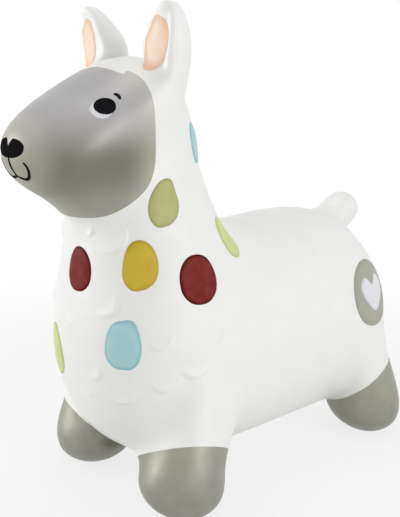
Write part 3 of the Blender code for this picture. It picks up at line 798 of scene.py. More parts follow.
    def cage(self) -> Shape:
        """Builds the closed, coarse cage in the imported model's place.

        Returns:
            The cage.
        """
        cage = bmesh.new()
        points = len(self.angles)
        ring = bmesh.ops.create_circle(cage, segments=points, radius=1, cap_ends=False)["verts"]
        rings = []
        for section in self.sections():
            if rings:
                places = [tuple(vert.co) for vert in ring]
                edges = edges_within(cage, ring)
                ring = copies_at(places, bmesh.ops.extrude_edge_only(cage, edges=edges)["geom"])
            rings.append(ring)
            for vert, point in zip(ring, section):
                vert.co = point
        for ring in (rings[0], rings[-1]):
            bmesh.ops.edgeloop_fill(cage, edges=edges_within(cage, ring))
        toe_out, toe_back = self.toe
        for side in Side:
            sectors = [side.value * sector for sector in self.leg_sectors]
            front = self.leg_levels(side, toe_back, toe_back, toe_out)
            rear = self.leg_levels(side, self.wheelbase, self.leg_splay, 0.0)
            self.grow(cage, rings, self.front_leg_root, sectors, front)
            self.grow(cage, rings, self.rear_leg_root, sectors, rear)
            self.add_ear(cage, rings, side)
        self.grow(cage, rings, self.tail_root, self.tail_sectors, self.tail_levels(rings))
        bmesh.ops.recalc_face_normals(cage, faces=cage.faces)
        bmesh.ops.translate(cage, verts=cage.verts, vec=Vector(self.stand))
        return cage

    def rounded(self, levels: int) -> Shape:
        """Rounds the cage with a subdivision surface.

        Args:
            levels: How many times it is subdivided.

        Returns:
            The rounded surface.
        """
        piece = plain_object("body_cage", self.cage())
        modify(piece, "SUBSURF", levels=levels, render_levels=levels)
        return evaluated(piece)


@dataclass(frozen=True)
class Curl:
    """One moulded curl of fleece: a low mound that ends below in a crescent-shaped step.

    Attributes:
        turn: Where the step's middle lies, in degrees from straight ahead to the left.
        drop: How far under the crown it lies, as a share of the neck's rise.
        roll: Which way the mound falls, in degrees from straight down to the left.
        radius: The radius of the crescent.
        height: How high the step is.
    """

    turn: float
    drop: float
    roll: float
    radius: float
    height: float


@dataclass
class Fleece:
    """The curls of fleece that are moulded into the neck and the chest.

    Attributes:
        curls: The curls that the picture shows, and others like them all round the neck.
        relief: How much stronger every curl is than its own height says.
        step: How wide the step at a curl's foot is.
        depth: How far from the curl's own plane the surface still belongs to it.
        taper: The power with which a crescent thins towards its two ends.
        seats: Each curl's middle, its way out and its way down, once it is settled.
    """

    curls: tuple[Curl, ...] = (
        Curl(41, 1.000, 48, 0.018, 0.0013), Curl(16, 0.935, 55, 0.009, 0.0010),
        Curl(35, 1.370, 42, 0.015, 0.0012), Curl(24, 1.770, 42, 0.011, 0.0010),
        Curl(13, 1.905, 10, 0.006, 0.0007), Curl(44, 1.900, 26, 0.014, 0.0014),
        Curl(67, 1.565, 20, 0.013, 0.0014), Curl(69, 1.830, 8, 0.016, 0.0015),
        Curl(85, 1.760, 0, 0.015, 0.0014), Curl(101, 1.550, 60, 0.012, 0.0007),
        Curl(97, 0.353, 10, 0.006, 0.0005), Curl(93, 0.713, 5, 0.006, 0.0005),
        Curl(-8, 1.480, -30, 0.013, 0.0006), Curl(-27, 1.290, -35, 0.011, 0.0009),
        Curl(-38, 0.990, -48, 0.016, 0.0012), Curl(-38, 1.400, -42, 0.015, 0.0012),
        Curl(-46, 1.850, -26, 0.014, 0.0013), Curl(-48, 1.600, -20, 0.011, 0.0012),
        Curl(-72, 1.830, -8, 0.016, 0.0014), Curl(-88, 1.740, 0, 0.015, 0.0013),
        Curl(-97, 0.370, -10, 0.007, 0.0006), Curl(-93, 0.730, -5, 0.008, 0.0007),
        Curl(158, 0.560, 10, 0.010, 0.0009), Curl(-162, 0.640, -10, 0.011, 0.0009),
        Curl(176, 0.860, 0, 0.012, 0.0010),
    )
    relief: float = 2.4
    step: float = 0.0034
    depth: float = 0.016
    taper: float = 1.3
    seats: list[tuple[Vector, Vector, Vector, Curl]] = field(default_factory=list)

    def settle(self, surface: "Surface") -> None:
        """Finds each curl's middle, its way out and its way down on the body.

        Args:
            surface: The body's surface.
        """
        for curl in self.curls:
            start = surface.body.spot_start(curl.drop)
            place, normal = surface.facing(start, direction(curl.turn), curl.radius)
            left = UP.cross(normal).normalized()
            down = normal.cross(left).normalized() * -1
            turn = math.radians(curl.roll)
            way = down * math.cos(turn) + left * math.sin(turn)
            self.seats.append((place - way * curl.radius, normal, way, curl))

    def heights(self, places: np.ndarray) -> np.ndarray:
        """Works out how high the fleece stands over the smooth body.

        Args:
            places: Places on the body, a row each.

        Returns:
            A height for each place.
        """
        total = np.zeros(len(places))
        for middle, normal, way, curl in self.seats:
            away = places - np.array(middle)
            axes = (normal, way, normal.cross(way))
            out, along, across = (away @ np.array(axis) for axis in axes)
            far = np.hypot(along, across) + 1e-9
            aim = np.clip(along / far, 0, 1)
            rise = np.clip(far / curl.radius, 0, 1) ** 2
            fall = np.clip((far - curl.radius) / self.step, 0, 1)
            edge = 1 - fall * fall * (3 - 2 * fall)
            near = np.clip(1 - abs(out) / self.depth, 0, 1)
            total += curl.height * rise * edge * aim**self.taper * np.sqrt(near)
        return self.relief * total

    def near(self, place: Vector) -> bool:
        """Tells whether a place is so close to a curl that its mesh has to be fine."""
        return any((place - seat[0]).length < seat[3].radius + 2 * self.step for seat in self.seats)


@dataclass
class Surface:
    """The smooth outer surface of the body, which the coats are draped over.

    Attributes:
        body: The body's cage.
        levels: How many times the cage is subdivided.
        fleece: The curls on it.
        tree: The surface, made searchable.
    """

    body: LlamaBody
    levels: int = 4
    fleece: Fleece = field(default_factory=Fleece)
    tree: BVHTree = field(init=False)

    def __post_init__(self) -> None:
        """Rounds the body, makes it searchable and settles the curls on it."""
        shape = self.body.rounded(self.levels)
        self.tree = BVHTree.FromBMesh(shape)
        shape.free()
        self.fleece.settle(self)

    def meet(self, start: Vector, way: Vector) -> tuple[Vector, Vector]:
        """Finds where a line first meets the body, and which way it faces there.

        Args:
            start: Where the line starts.
            way: Which way it goes.

        Returns:
            The place and the way out.
        """
        place, normal, _, _ = self.tree.ray_cast(start, way)
        if place is None:
            raise ValueError(f"nothing lies from {start[:]} towards {way[:]}")
        return place, normal

    def facing(self, start: Vector, way: Vector, reach: float) -> tuple[Vector, Vector]:
        """Finds where a line meets the body, and which way it faces round there.

        Args:
            start: Where the line starts.
            way: Which way it goes.
            reach: How far round the place the body's ways out are averaged.

        Returns:
            The place and the averaged way out.
        """
        place, _ = self.meet(start, way)
        normals = [found[1] for found in self.tree.find_nearest_range(place, reach)]
        return place, sum(normals, Vector()).normalized()

    def drape(self, shape: Shape, way: Vector, reach: float) -> None:
        """Lays a flat shape on the body along one way.

        A vertex's lift over the body is its value in the float layer "lift".

        Args:
            shape: The flat shape, already facing the body.
            way: The way in towards the body.
            reach: How far out of the shape's plane the search starts.
        """
        lift = shape.verts.layers.float["lift"]
        verts = list(shape.verts)
        hits = [self.meet(vert.co - way * reach, way) for vert in verts]
        heights = self.fleece.heights(np.array([hit[0][:] for hit in hits]))
        for vert, (place, normal), height in zip(verts, hits, heights):
            vert.co = place + normal * (vert[lift] + float(height))


def direction(turn: float, rise: float = 0.0) -> Vector:
    """Works out a way from its angles.

    Args:
        turn: How far it is turned from straight ahead to the left, in degrees.
        rise: How far it rises, in degrees.

    Returns:
        The way, of length 1.
    """
    flat = math.cos(math.radians(rise))
    across, ahead = math.sin(math.radians(turn)) * flat, math.cos(math.radians(turn)) * flat
    return Vector((across, -ahead, math.sin(math.radians(rise))))


def between(before: Knot, start: Knot, end: Knot, after: Knot, t: float) -> Knot:
    """Runs a smooth curve through four knots.

    Args:
        before: The knot before the stretch.
        start: The knot that the stretch starts at.
        end: The knot that it ends at.
        after: The knot after it.
        t: How far along the stretch the point lies, from 0 to 1.

    Returns:
        The curve's point.
    """
    bend = (end - before) * t
    bend += (2 * before - 5 * start + 4 * end - after) * t**2
    bend += (3 * (start - end) + after - before) * t**3
    return start + bend / 2


def smooth_path(points: Sequence[Sequence[float]], steps: int) -> list[Vector]:
    """Runs a smooth curve through some points of a plane.

    Args:
        points: The points, with the two ends on the curve.
        steps: How many straight steps the curve has between two points.

    Returns:
        The curve's points, the last of the given ones included.
    """
    knots = [Vector(point) for point in points]
    knots = [2 * knots[0] - knots[1], *knots, 2 * knots[-1] - knots[-2]]
    path = []
    for stretch in zip(knots, knots[1:], knots[2:], knots[3:]):
        path += [between(*stretch, k / steps) for k in range(steps)]
    return [*path, knots[-2]]


def prism(
    outline: Sequence[Vector], place: Callable[[Vector, float], Vector], ends: Pair
) -> Shape:
    """Draws an outline out into a straight solid.

    Args:
        outline: The outline's points in its own plane.
        place: Turns such a point, and a distance along the solid, into a place.
        ends: Where the solid starts and ends.

    Returns:
        The solid.
    """
    shape = bmesh.new()
    verts = bmesh.ops.create_circle(shape, segments=len(outline), radius=1, cap_ends=True)["verts"]
    for vert, point in zip(verts, outline):
        vert.co = place(point, ends[0])
    made = bmesh.ops.extrude_face_region(shape, geom=list(shape.faces))["geom"]
    shift = place(outline[0], ends[1]) - place(outline[0], ends[0])
    bmesh.ops.translate(shape, verts=of_kind(made, Corner), vec=shift)
    bmesh.ops.recalc_face_normals(shape, faces=shape.faces)
    return shape


@dataclass(frozen=True)
class Outline:
    """The outline of a coat: an ellipse, changed by given shares.

    Attributes:
        wide: Its width.
        tall: Its height.
        taper: How much narrower its top is than its bottom.
        square: The power that squares the ellipse; 1 leaves it round.
        notch: How deep a notch in its top goes, as a share of its height.
        notch_width: The width of that notch, as a share of its width.
        pulls: How far the outline is pulled out or in at each hour of a clock face, from twelve.
    """

    wide: float
    tall: float
    taper: float = 0.0
    square: float = 1.0
    notch: float = 0.0
    notch_width: float = 0.25
    pulls: tuple[float, ...] = (1.0,) * 12

    def pull(self, turn: float) -> float:
        """Works out how far the outline is pulled at one angle, smoothly between the hours.

        Args:
            turn: The angle, clockwise from the top.

        Returns:
            The share of the plain outline's radius.
        """
        hours = len(self.pulls)
        place = turn % math.tau / math.tau * hours
        k = int(place)
        stretch = (self.pulls[(k + step) % hours] for step in (-1, 0, 1, 2))
        return between(*stretch, place - k)

    def point(self, turn: float) -> Vector:
        """Works out one point of the outline.

        Args:
            turn: The angle, clockwise from the top.

        Returns:
            The point, with the outline's middle at the origin.
        """
        across = math.copysign(abs(math.sin(turn)) ** self.square, math.sin(turn))
        up = math.copysign(abs(math.cos(turn)) ** self.square, math.cos(turn))
        dent = self.notch * max(up, 0) * math.exp(-((across / self.notch_width) ** 2))
        x = self.wide / 2 * across * (1 - self.taper * up)
        return Vector((x, self.tall * (up / 2 - dent))) * self.pull(turn)


def smooth_piece(name: str, shape: Shape, finish: Finish, sharp: float | None) -> Piece:
    """Makes a smoothly shaded piece.

    Args:
        name: Its name.
        shape: Its mesh, in place.
        finish: Its material.
        sharp: The angle from which its edges stay sharp, in degrees, if any do.

    Returns:
        The piece.
    """
    piece = plain_object(name, shape)
    piece.data.materials.append(finish.material())
    piece.data.shade_smooth()
    if sharp is not None:
        piece.data.set_sharp_from_angle(angle=math.radians(sharp))
    return piece


def dress(piece: Piece, mover: Mover, slot: Slot, *nodes: str) -> None:
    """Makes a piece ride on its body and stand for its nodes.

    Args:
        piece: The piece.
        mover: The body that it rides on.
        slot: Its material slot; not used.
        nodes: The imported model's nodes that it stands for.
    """
    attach(piece, mover.value)
    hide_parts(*nodes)
    LOG.info("%s: %d faces", piece.name, len(piece.data.polygons))


@dataclass(frozen=True)
class Plane:
    """The plane outside the body that a coat is drawn in before it is draped.

    Attributes:
        surface: The body's surface.
        place: Where the plane's origin lies.
        normal: Which way the plane faces.
        flip: -1 where left and right change places.
    """

    surface: Surface
    place: Vector
    normal: Vector
    flip: int = 1

    def at(self, x: float, y: float) -> Vector:
        """Finds a place in the plane.

        Args:
            x: How far it is to the right of the origin.
            y: How far it is above the origin.

        Returns:
            The place.
        """
        right = UP.cross(self.normal).normalized()
        return self.place + right * x + self.normal.cross(right) * y


@dataclass(frozen=True)
class Coat:
    """What every coat of paint has.

    Attributes:
        node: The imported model's node that it stands for.
        slot: The material slot that it takes its finish from.
        finish: Its material, where it isn't its slot's flat colour.
        lift: How far over the skin its edge lies.
        depth: How far its thin solid reaches down from its face.
        sharp: The angle from which the edges of a cut coat stay sharp, in degrees.
    """

    node: str
    slot: Slot
    finish: Finish | None = None
    lift: float = 0.00010
    depth: float = 0.0006
    sharp: float = 40

    def complete(self, shape: Shape, solid: bool) -> None:
        """Turns the coat's shape into a piece that rides on the animal.

        Args:
            shape: The coat's mesh, in place.
            solid: Whether the mesh is closed already.
        """
        paint = self.finish or PAINTS[self.slot]
        piece = smooth_piece(self.node + "_paint", shape, paint, self.sharp if solid else None)
        if not solid:
            modify(piece, "SOLIDIFY", thickness=self.depth, offset=-1)
        dress(piece, Mover.ANIMAL, self.slot, self.node)


@dataclass(frozen=True)
class Pad(Coat):
    """A coat that is draped as a round or egg-shaped pad, a little domed where it is moulded.

    Attributes:
        outline: Its outline.
        dome: How high its middle stands over its edge.
        bulge: The power of the dome; a high one has a flat middle and a steep edge.
        shoulder: The power that rounds the dome's shoulder.
        segments: How many steps its outline has.
        rings: How far out its rings lie, as shares.
    """

    outline: Outline = Outline(0.04, 0.05)
    dome: float = 0.0
    bulge: float = 4.0
    shoulder: float = 0.6
    segments: int = 72
    rings: tuple[float, ...] = (0.12, 0.30, 0.48, 0.64, 0.78, 0.88, 0.95, 0.985, 1.0)

    def build(self, plane: Plane, shift: Pair = (0.0, 0.0), roll: float = 0.0) -> None:
        """Makes the pad flat and drapes it on the body.

        Args:
            plane: The plane that it is drawn in, with the pad's middle at the origin.
            shift: How far it is moved in its own plane.
            roll: How far it is turned in its own plane, in degrees.
        """
        shape = bmesh.new()
        lift = shape.verts.layers.float.new("lift")
        rim = shape.verts.layers.float.new("rim")
        bmesh.ops.create_circle(
            shape, segments=self.segments, radius=self.rings[0], cap_ends=True, cap_tris=True
        )
        edges = [edge for edge in shape.edges if edge.is_boundary]
        for inner, outer in zip(self.rings, self.rings[1:]):
            made = bmesh.ops.extrude_edge_only(shape, edges=edges)["geom"]
            edges = of_kind(made, bmesh.types.BMEdge)
            grown = Vector((outer / inner,) * 3)
            bmesh.ops.scale(shape, vec=grown, verts=of_kind(made, Corner))
        bmesh.ops.recalc_face_normals(shape, faces=shape.faces)
        if plane.flip * sum(face.normal.z for face in shape.faces) < 0:
            bmesh.ops.reverse_faces(shape, faces=shape.faces)
        cos, sin = math.cos(math.radians(roll)), math.sin(math.radians(roll))
        shift_x, shift_y = shift
        for vert in shape.verts:
            out = min(vert.co.length, 1.0)
            point = self.outline.point(math.atan2(vert.co.x, vert.co.y)) * out
            vert[rim] = out
            vert[lift] = self.lift + self.dome * (1 - out**self.bulge) ** self.shoulder
            x, y = plane.flip * point.x, point.y
            vert.co = plane.at(x * cos - y * sin + shift_x, x * sin + y * cos + shift_y)
        reach = max(self.outline.wide, self.outline.tall) / 2
        plane.surface.drape(shape, -plane.normal, reach)
        self.complete(shape, solid=False)


@dataclass(frozen=True)
class Stroke(Coat):
    """A drawn line of paint, widest in its middle.

    Attributes:
        paths: The lines' points in the plane that faces the stroke.
        width: The greatest width.
        blunt: The width at the ends, as a share of that.
        reach: How far out of the lines' plane the search for the body starts.
    """

    paths: tuple[tuple[Pair, ...], ...] = ()
    width: float = 0.0015
    blunt: float = 0.5
    reach: float = 0.03

    def build(self, plane: Plane) -> None:
        """Drapes the lines on the body.

        Args:
            plane: The plane that the lines are drawn in.
        """
        shape = bmesh.new()
        lift = shape.verts.layers.float.new("lift")
        rim = shape.verts.layers.float.new("rim")
        for points in self.paths:
            path = smooth_path(points, LINE_STEPS)
            last = len(path) - 1
            made = bmesh.ops.create_grid(shape, x_segments=last, y_segments=2, size=1)
            for vert in made["verts"]:
                along = (vert.co.x + 1) / 2
                k = min(round(along * last), last)
                ahead = path[min(k + 1, last)] - path[max(k - 1, 0)]
                side = Vector((-ahead.y, ahead.x)).normalized()
                share = self.blunt + (1 - self.blunt) * math.sqrt(math.sin(math.pi * along))
                flat = path[k] + side * vert.co.y * share * self.width / 2
                vert[lift] = self.lift
                vert[rim] = LINE_RIM
                vert.co = plane.at(plane.flip * flat.x, flat.y)
        plane.surface.drape(shape, -plane.normal, self.reach)
        for face in shape.faces:
            face.normal_update()
            if face.normal.dot(plane.normal) < 0:
                face.normal_flip()
        self.complete(shape, solid=False)


def turned(profile: Sequence[Pair], place: Vector, steps: int = 48) -> Shape:
    """Turns a profile about an upright axis.

    Args:
        profile: Radii and heights, from the axis and back to it.
        place: Where the profile's origin goes.
        steps: How many steps a full turn has.

    Returns:
        The closed solid.
    """
    shape = bmesh.new()
    verts = [shape.verts.new((radius, 0, height)) for radius, height in profile]
    geom = verts + [shape.edges.new(pair) for pair in zip(verts, verts[1:])]
    about = {"axis": UP, "cent": Vector(), "angle": math.tau}
    bmesh.ops.spin(shape, geom=geom, steps=steps, use_merge=True, **about)
    bmesh.ops.remove_doubles(shape, verts=shape.verts, dist=1e-5)
    bmesh.ops.recalc_face_normals(shape, faces=shape.faces)
    bmesh.ops.translate(shape, verts=shape.verts, vec=place)
    return shape


def valve_seat() -> tuple[Vector, float]:
    """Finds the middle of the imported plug's underside, and the plug's height.

    Returns:
        The place and the height.
    """
    low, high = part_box("valve_plug")
    return Vector(((low.x + high.x) / 2, (low.y + high.y) / 2, low.z)), high.z - low.z


@dataclass(frozen=True)
class MouldedSkin:
    """The white skin, with its fleece and with the recess and bore of its valve.

    Attributes:
        levels: How many times the cage is subdivided all over.
        cuts: How many cuts each edge near a curl gets on top.
        recess: The radius and depth of the recess round the plug's head.
        bore: The radius and depth of the bore behind it.
        lip: The radius that rounds the recess's mouth.
        sharp: The angle from which its edges stay sharp, in degrees.
    """

    levels: int = 3
    cuts: int = 2
    recess: Pair = (0.0108, 0.0022)
    bore: Pair = (0.0048, 0.024)
    lip: float = 0.0012
    sharp: float = 50

    def shell(self, surface: Surface) -> Shape:
        """Makes the closed outer surface, finer near the curls and raised by them.

        Args:
            surface: The body's surface.

        Returns:
            The outer surface.
        """
        shape = surface.body.rounded(self.levels)
        fine = [face for face in shape.faces if surface.fleece.near(face.calc_center_median())]
        edges = list({edge for face in fine for edge in face.edges})
        cut = bmesh.ops.subdivide_edges(shape, edges=edges, cuts=self.cuts, use_grid_fill=True)
        for vert in of_kind(cut["geom_inner"], Corner):
            vert.co = surface.tree.find_nearest(vert.co)[0]
        shape.normal_update()
        places = np.array([vert.co[:] for vert in shape.verts])
        raised = zip(surface.fleece.heights(places), [vert.normal.copy() for vert in shape.verts])
        for vert, (height, normal) in zip(shape.verts, raised):
            vert.co += normal * float(height)
        bmesh.ops.triangulate(shape, faces=shape.faces)
        shape.normal_update()
        return shape

    def build(self, shell: Shape) -> None:
        """Cuts the valve and finishes the skin.

        Args:
            shell: The closed outer surface. It is used up.
        """
        wide, deep = self.recess
        narrow, far = self.bore
        under, mouth = -3 * deep, wide + 2 * self.lip
        profile = [
            (0, under), (mouth, under), (mouth, -self.lip), (wide + self.lip / 3, -self.lip / 3),
            (wide, self.lip / 2), (wide, deep), (narrow, deep), (narrow, far), (0, far),
        ]
        shape = trimmed(shell, [("DIFFERENCE", turned(profile, valve_seat()[0]))])
        piece = smooth_piece("skin_vinyl", shape, WHITE_VINYL, self.sharp)
        dress(piece, Mover.ANIMAL, Slot.SKIN, "skin")


@dataclass(frozen=True)
class ValvePlug:
    """The push-in plug of the valve, with a ribbed stem and a ring in its head to pull it by.

    Attributes:
        head: The head's radius and thickness.
        stem: The stem's radius.
        rib: How far a rib stands out of the stem's waist.
        ribs: Where the ribs start, as shares of the stem's length.
        rib_steps: How far past its start each rib rises, is full and has fallen, as such shares.
        groove: Where the ring groove of the head lies, its half width and its depth.
        edge: How far the head's edge is rounded.
        sharp: The angle from which its edges stay sharp, in degrees.
    """

    head: Pair = (0.0104, 0.0019)
    stem: float = 0.0044
    rib: float = 0.0004
    ribs: Triple = (0.18, 0.42, 0.66)
    rib_steps: Triple = (0.06, 0.12, 0.16)
    groove: Triple = (0.0062, 0.0011, 0.0009)
    edge: float = 0.0006
    sharp: float = 35

    def build(self) -> None:
        """Builds the plug where its node is."""
        place, tall = valve_seat()
        wide, thick = self.head
        at, half, deep = self.groove
        waist = self.stem - self.rib
        bevel = 0.3 * self.edge
        profile = [
            (0, 0), (at - half, 0), (at - half / 2, deep), (at + half / 2, deep), (at + half, 0),
            (wide - self.edge, 0), (wide - bevel, bevel), (wide, self.edge), (wide, thick),
            (waist, thick),
        ]
        for start in self.ribs:
            steps = zip((waist, self.stem, self.stem, waist), (0, *self.rib_steps))
            profile += [(radius, thick + (tall - thick) * (start + step)) for radius, step in steps]
        profile += [(waist, tall - 3 * self.edge), (waist - self.edge, tall - self.edge)]
        profile += [(waist - 2 * self.edge, tall), (0, tall)]
        piece = smooth_piece("valve_plug_vinyl", turned(profile, place), PLUG_VINYL, self.sharp)
        dress(piece, Mover.PLUG, Slot.PLUG, "valve_plug")


def lifted_part(shell: Shape, lift: float, cuts: Sequence[tuple[Vector, Vector]]) -> Shape:
    """Copies the skin a little lifted, and keeps the part of it on one side of some planes.

    Args:
        shell: The skin's outer surface, which is left as it is.
        lift: How far the copy lies over the skin.
        cuts: A point of each plane, and its normal towards the side that is thrown away.

    Returns:
        The open part.
    """
    shape = shell.copy()
    shape.normal_update()
    for vert, normal in [(vert, vert.normal.copy()) for vert in shape.verts]:
        vert.co += normal * lift
    for place, normal in cuts:
        geom = [*shape.verts, *shape.edges, *shape.faces]
        plane = {"plane_co": place, "plane_no": normal, "dist": 1e-6}
        bmesh.ops.bisect_plane(shape, geom=geom, clear_outer=True, **plane)
    return shape


@dataclass(frozen=True)
class FaceCoat(Coat):
    """The grey mask over the face, which the white fringe of wool cuts into.

    Places are from between the front feet. The mask is cut from a patch of the skin that
    reaches a little past it.

    Attributes:
        cheek: The mask's back and bottom edge seen from the side, as y and z.
        fringe: The right half of the fringe's edge seen from above, as x and y, from the middle.
        lobe: The same edge further out, where the wool runs down beside the eye.
        half_width: How far to each side the mask's cutter reaches.
        past: How far the patch reaches under the cheek's edge and behind it.
        beyond: A y and a z that lie well before and above the head.
        wool: Half the width, and the back, of the cutter that takes the fringe away.
        wool_start: How far over the back that cutter starts.
    """

    cheek: tuple[Pair, ...] = (
        (-0.0248, 0.498), (-0.0244, 0.468), (-0.0222, 0.438), (-0.0213, 0.408),
        (-0.0236, 0.390), (-0.0293, 0.3755), (-0.0395, 0.3635), (-0.0520, 0.3528),
        (-0.0650, 0.3444), (-0.0810, 0.3409), (-0.1000, 0.3405),
    )
    fringe: tuple[Pair, ...] = (
        (0.0000, -0.0394), (0.0080, -0.0402), (0.0160, -0.0406), (0.0240, -0.0403),
        (0.0320, -0.0396), (0.0388, -0.0384), (0.0432, -0.0362),
    )
    lobe: tuple[Pair, ...] = (
        (0.0434, -0.0358), (0.0412, -0.0328), (0.0430, -0.0302), (0.0460, -0.0290),
        (0.0520, -0.0269), (0.0590, -0.0252), (0.0680, -0.0240),
    )
    half_width: float = 0.12
    past: Pair = (0.0083, 0.0061)
    beyond: Pair = (-0.3, 0.6)
    wool: Pair = (0.068, 0.06)
    wool_start: float = 0.1

    def build(self, surface: Surface, shell: Shape) -> None:
        """Cuts the mask out of the skin's own surface.

        Args:
            surface: The body's surface.
            shell: The skin's outer surface, which is left as it is.
        """
        body = surface.body
        back, bottom = self.cheek[0][0], self.cheek[-1][1]
        under = body.at(0, 0, bottom - self.past[0])
        behind = body.at(0, max(self.cheek)[0] + self.past[1], 0)
        patch = lifted_part(shell, self.lift + CUT_GAP, [(under, -UP), (behind, -AHEAD)])
        before, above = self.beyond
        corners = [Vector((before, bottom)), Vector((before, above)), Vector((back, above))]
        mask = prism(
            smooth_path(self.cheek, EDGE_STEPS) + corners,
            lambda point, x: body.at(x, point.x, point.y), (-self.half_width, self.half_width),
        )
        right = smooth_path(self.fringe, EDGE_STEPS) + smooth_path(self.lobe, EDGE_STEPS)
        left = [Vector((-point.x, point.y)) for point in reversed(right[1:])]
        side, rear = self.wool
        wool = prism(
            left + right + [Vector((side, rear)), Vector((-side, rear))],
            lambda point, z: body.at(point.x, point.y, z),
            (body.seat_height + self.wool_start, above),
        )
        coat = thickened(patch, self.depth / 2)
        shape = trimmed(coat, [("INTERSECT", mask), ("DIFFERENCE", wool)])
        self.complete(shape, solid=True)


@dataclass(frozen=True)
class FootCoat(Coat):
    """The grey paint of one foot, up to a slanted edge.

    Attributes:
        side: Which side the foot is on.
        foot_y: How far behind the front feet it stands.
        height: The edge's height over the middle of the foot.
        out_rise: How far the edge rises, per length outwards.
        back_rise: How far it rises, per length backwards.
        reach: How far round the foot's middle the coat may lie, as a share of its width.
        headroom: How far over the edge's height it may lie.
    """

    side: Side = Side.LEFT
    foot_y: float = 0.0
    height: float = 0.09
    out_rise: float = 0.55
    back_rise: float = -0.38
    reach: float = 0.8
    headroom: float = 0.06

    def build(self, surface: Surface, shell: Shape) -> None:
        """Cuts the coat out of the skin's own surface.

        Args:
            surface: The body's surface.
            shell: The skin's outer surface, which is left as it is.
        """
        body, sign = surface.body, self.side.value
        reach = self.reach * body.foot_width
        foot = body.at(sign * body.track / 2, self.foot_y, 0)
        low = foot - Vector((reach, reach, 1))
        high = foot + Vector((reach, reach, self.height + self.headroom))
        edge = foot + Vector((0, 0, self.height))
        slant = Vector((-sign * self.out_rise, -self.back_rise, 1))
        shape = lifted_part(shell, self.lift + CUT_GAP - self.depth, [(edge, slant)])
        inside = {v for v in shape.verts if all(a < c < b for a, c, b in zip(low, v.co, high))}
        outside = [face for face in shape.faces if not inside.issuperset(face.verts)]
        bmesh.ops.delete(shape, geom=outside, context="FACES")
        shape = thickened(shape, self.depth)
        for vert in shape.verts:
            vert.co.z = max(vert.co.z, 0.0)
        self.complete(shape, solid=True)


@dataclass(frozen=True)
class Feet:
    """The paint of all four feet.

    Attributes:
        edges: For each coat its foot's end and side, and its edge's height over the foot's
            middle, its rise outwards and its rise backwards.
    """

    edges: tuple[tuple[str, Side, float, float, float], ...] = (
        ("front", Side.LEFT, 0.0742, 0.55, -0.38),
        ("rear", Side.LEFT, 0.090, 0.55, 0.60),
        ("front", Side.RIGHT, 0.0676, 0.21, -0.38),
        ("rear", Side.RIGHT, 0.090, 0.55, 0.60),
    )

    def build(self, surface: Surface, shell: Shape) -> None:
        """Cuts all four coats out of the skin's own surface.

        Args:
            surface: The body's surface.
            shell: The skin's outer surface, which is left as it is.
        """
        for end, side, *edge in self.edges:
            foot_y = surface.body.wheelbase if end == "rear" else 0.0
            name = f"foot_coat_{end}_{side.word}"
            height, out_rise, back_rise = edge
            coat = FootCoat(
                name, Slot.GREY, FOOT_GREY, side=side, foot_y=foot_y, height=height,
                out_rise=out_rise, back_rise=back_rise,
            )
            coat.build(surface, shell)


@dataclass(frozen=True)
class Spot:
    """One moulded and painted spot of the neck or chest.

    Attributes:
        name: Its place, as in its node's name.
        slot: Its material slot.
        turn: Where it lies, in degrees from straight ahead to the left.
        drop: How far under the crown it lies, as a share of the neck's rise.
        outline: Its outline, seen from outside.
        shift: How far it is moved to the right and up in its own plane.
        roll: How far its top is turned to the left, in degrees.
    """

    name: str
    slot: Slot
    turn: float
    drop: float
    outline: Outline
    shift: Pair = (0.0, 0.0)
    roll: float = 0.0


# Egg-shaped spots that are not quite even, as a hand-cut mould leaves them.
EGG = (1.0, 0.96, 0.96, 1.0, 1.08, 1.04, 1.0, 1.06, 1.06, 1.0, 1.0, 1.03)
DROP = (1.0, 0.98, 0.98, 1.0, 1.03, 0.97, 0.97, 1.08, 1.10, 0.98, 0.97, 1.02)
PEBBLE = (1.0, 0.98, 0.94, 0.98, 1.06, 1.06, 1.02, 1.04, 1.04, 1.0, 1.03, 1.05)
PEAR = (0.98, 1.08, 0.91, 0.99, 1.01, 0.97, 0.98, 1.11, 1.10, 0.97, 0.87, 0.88)
BARREL = (0.97, 1.12, 1.0, 0.99, 1.05, 1.08, 1.0, 1.07, 1.08, 0.97, 0.94, 0.98)
LEFT_LINING = (0.94, 1.02, 1.07, 0.94, 0.84, 0.90, 0.99, 1.00, 0.95, 0.78, 0.64, 0.66)
RIGHT_LINING = (0.98, 1.10, 1.08, 1.04, 1.14, 1.14, 1.04, 1.14, 1.10, 0.98, 0.86, 0.82)


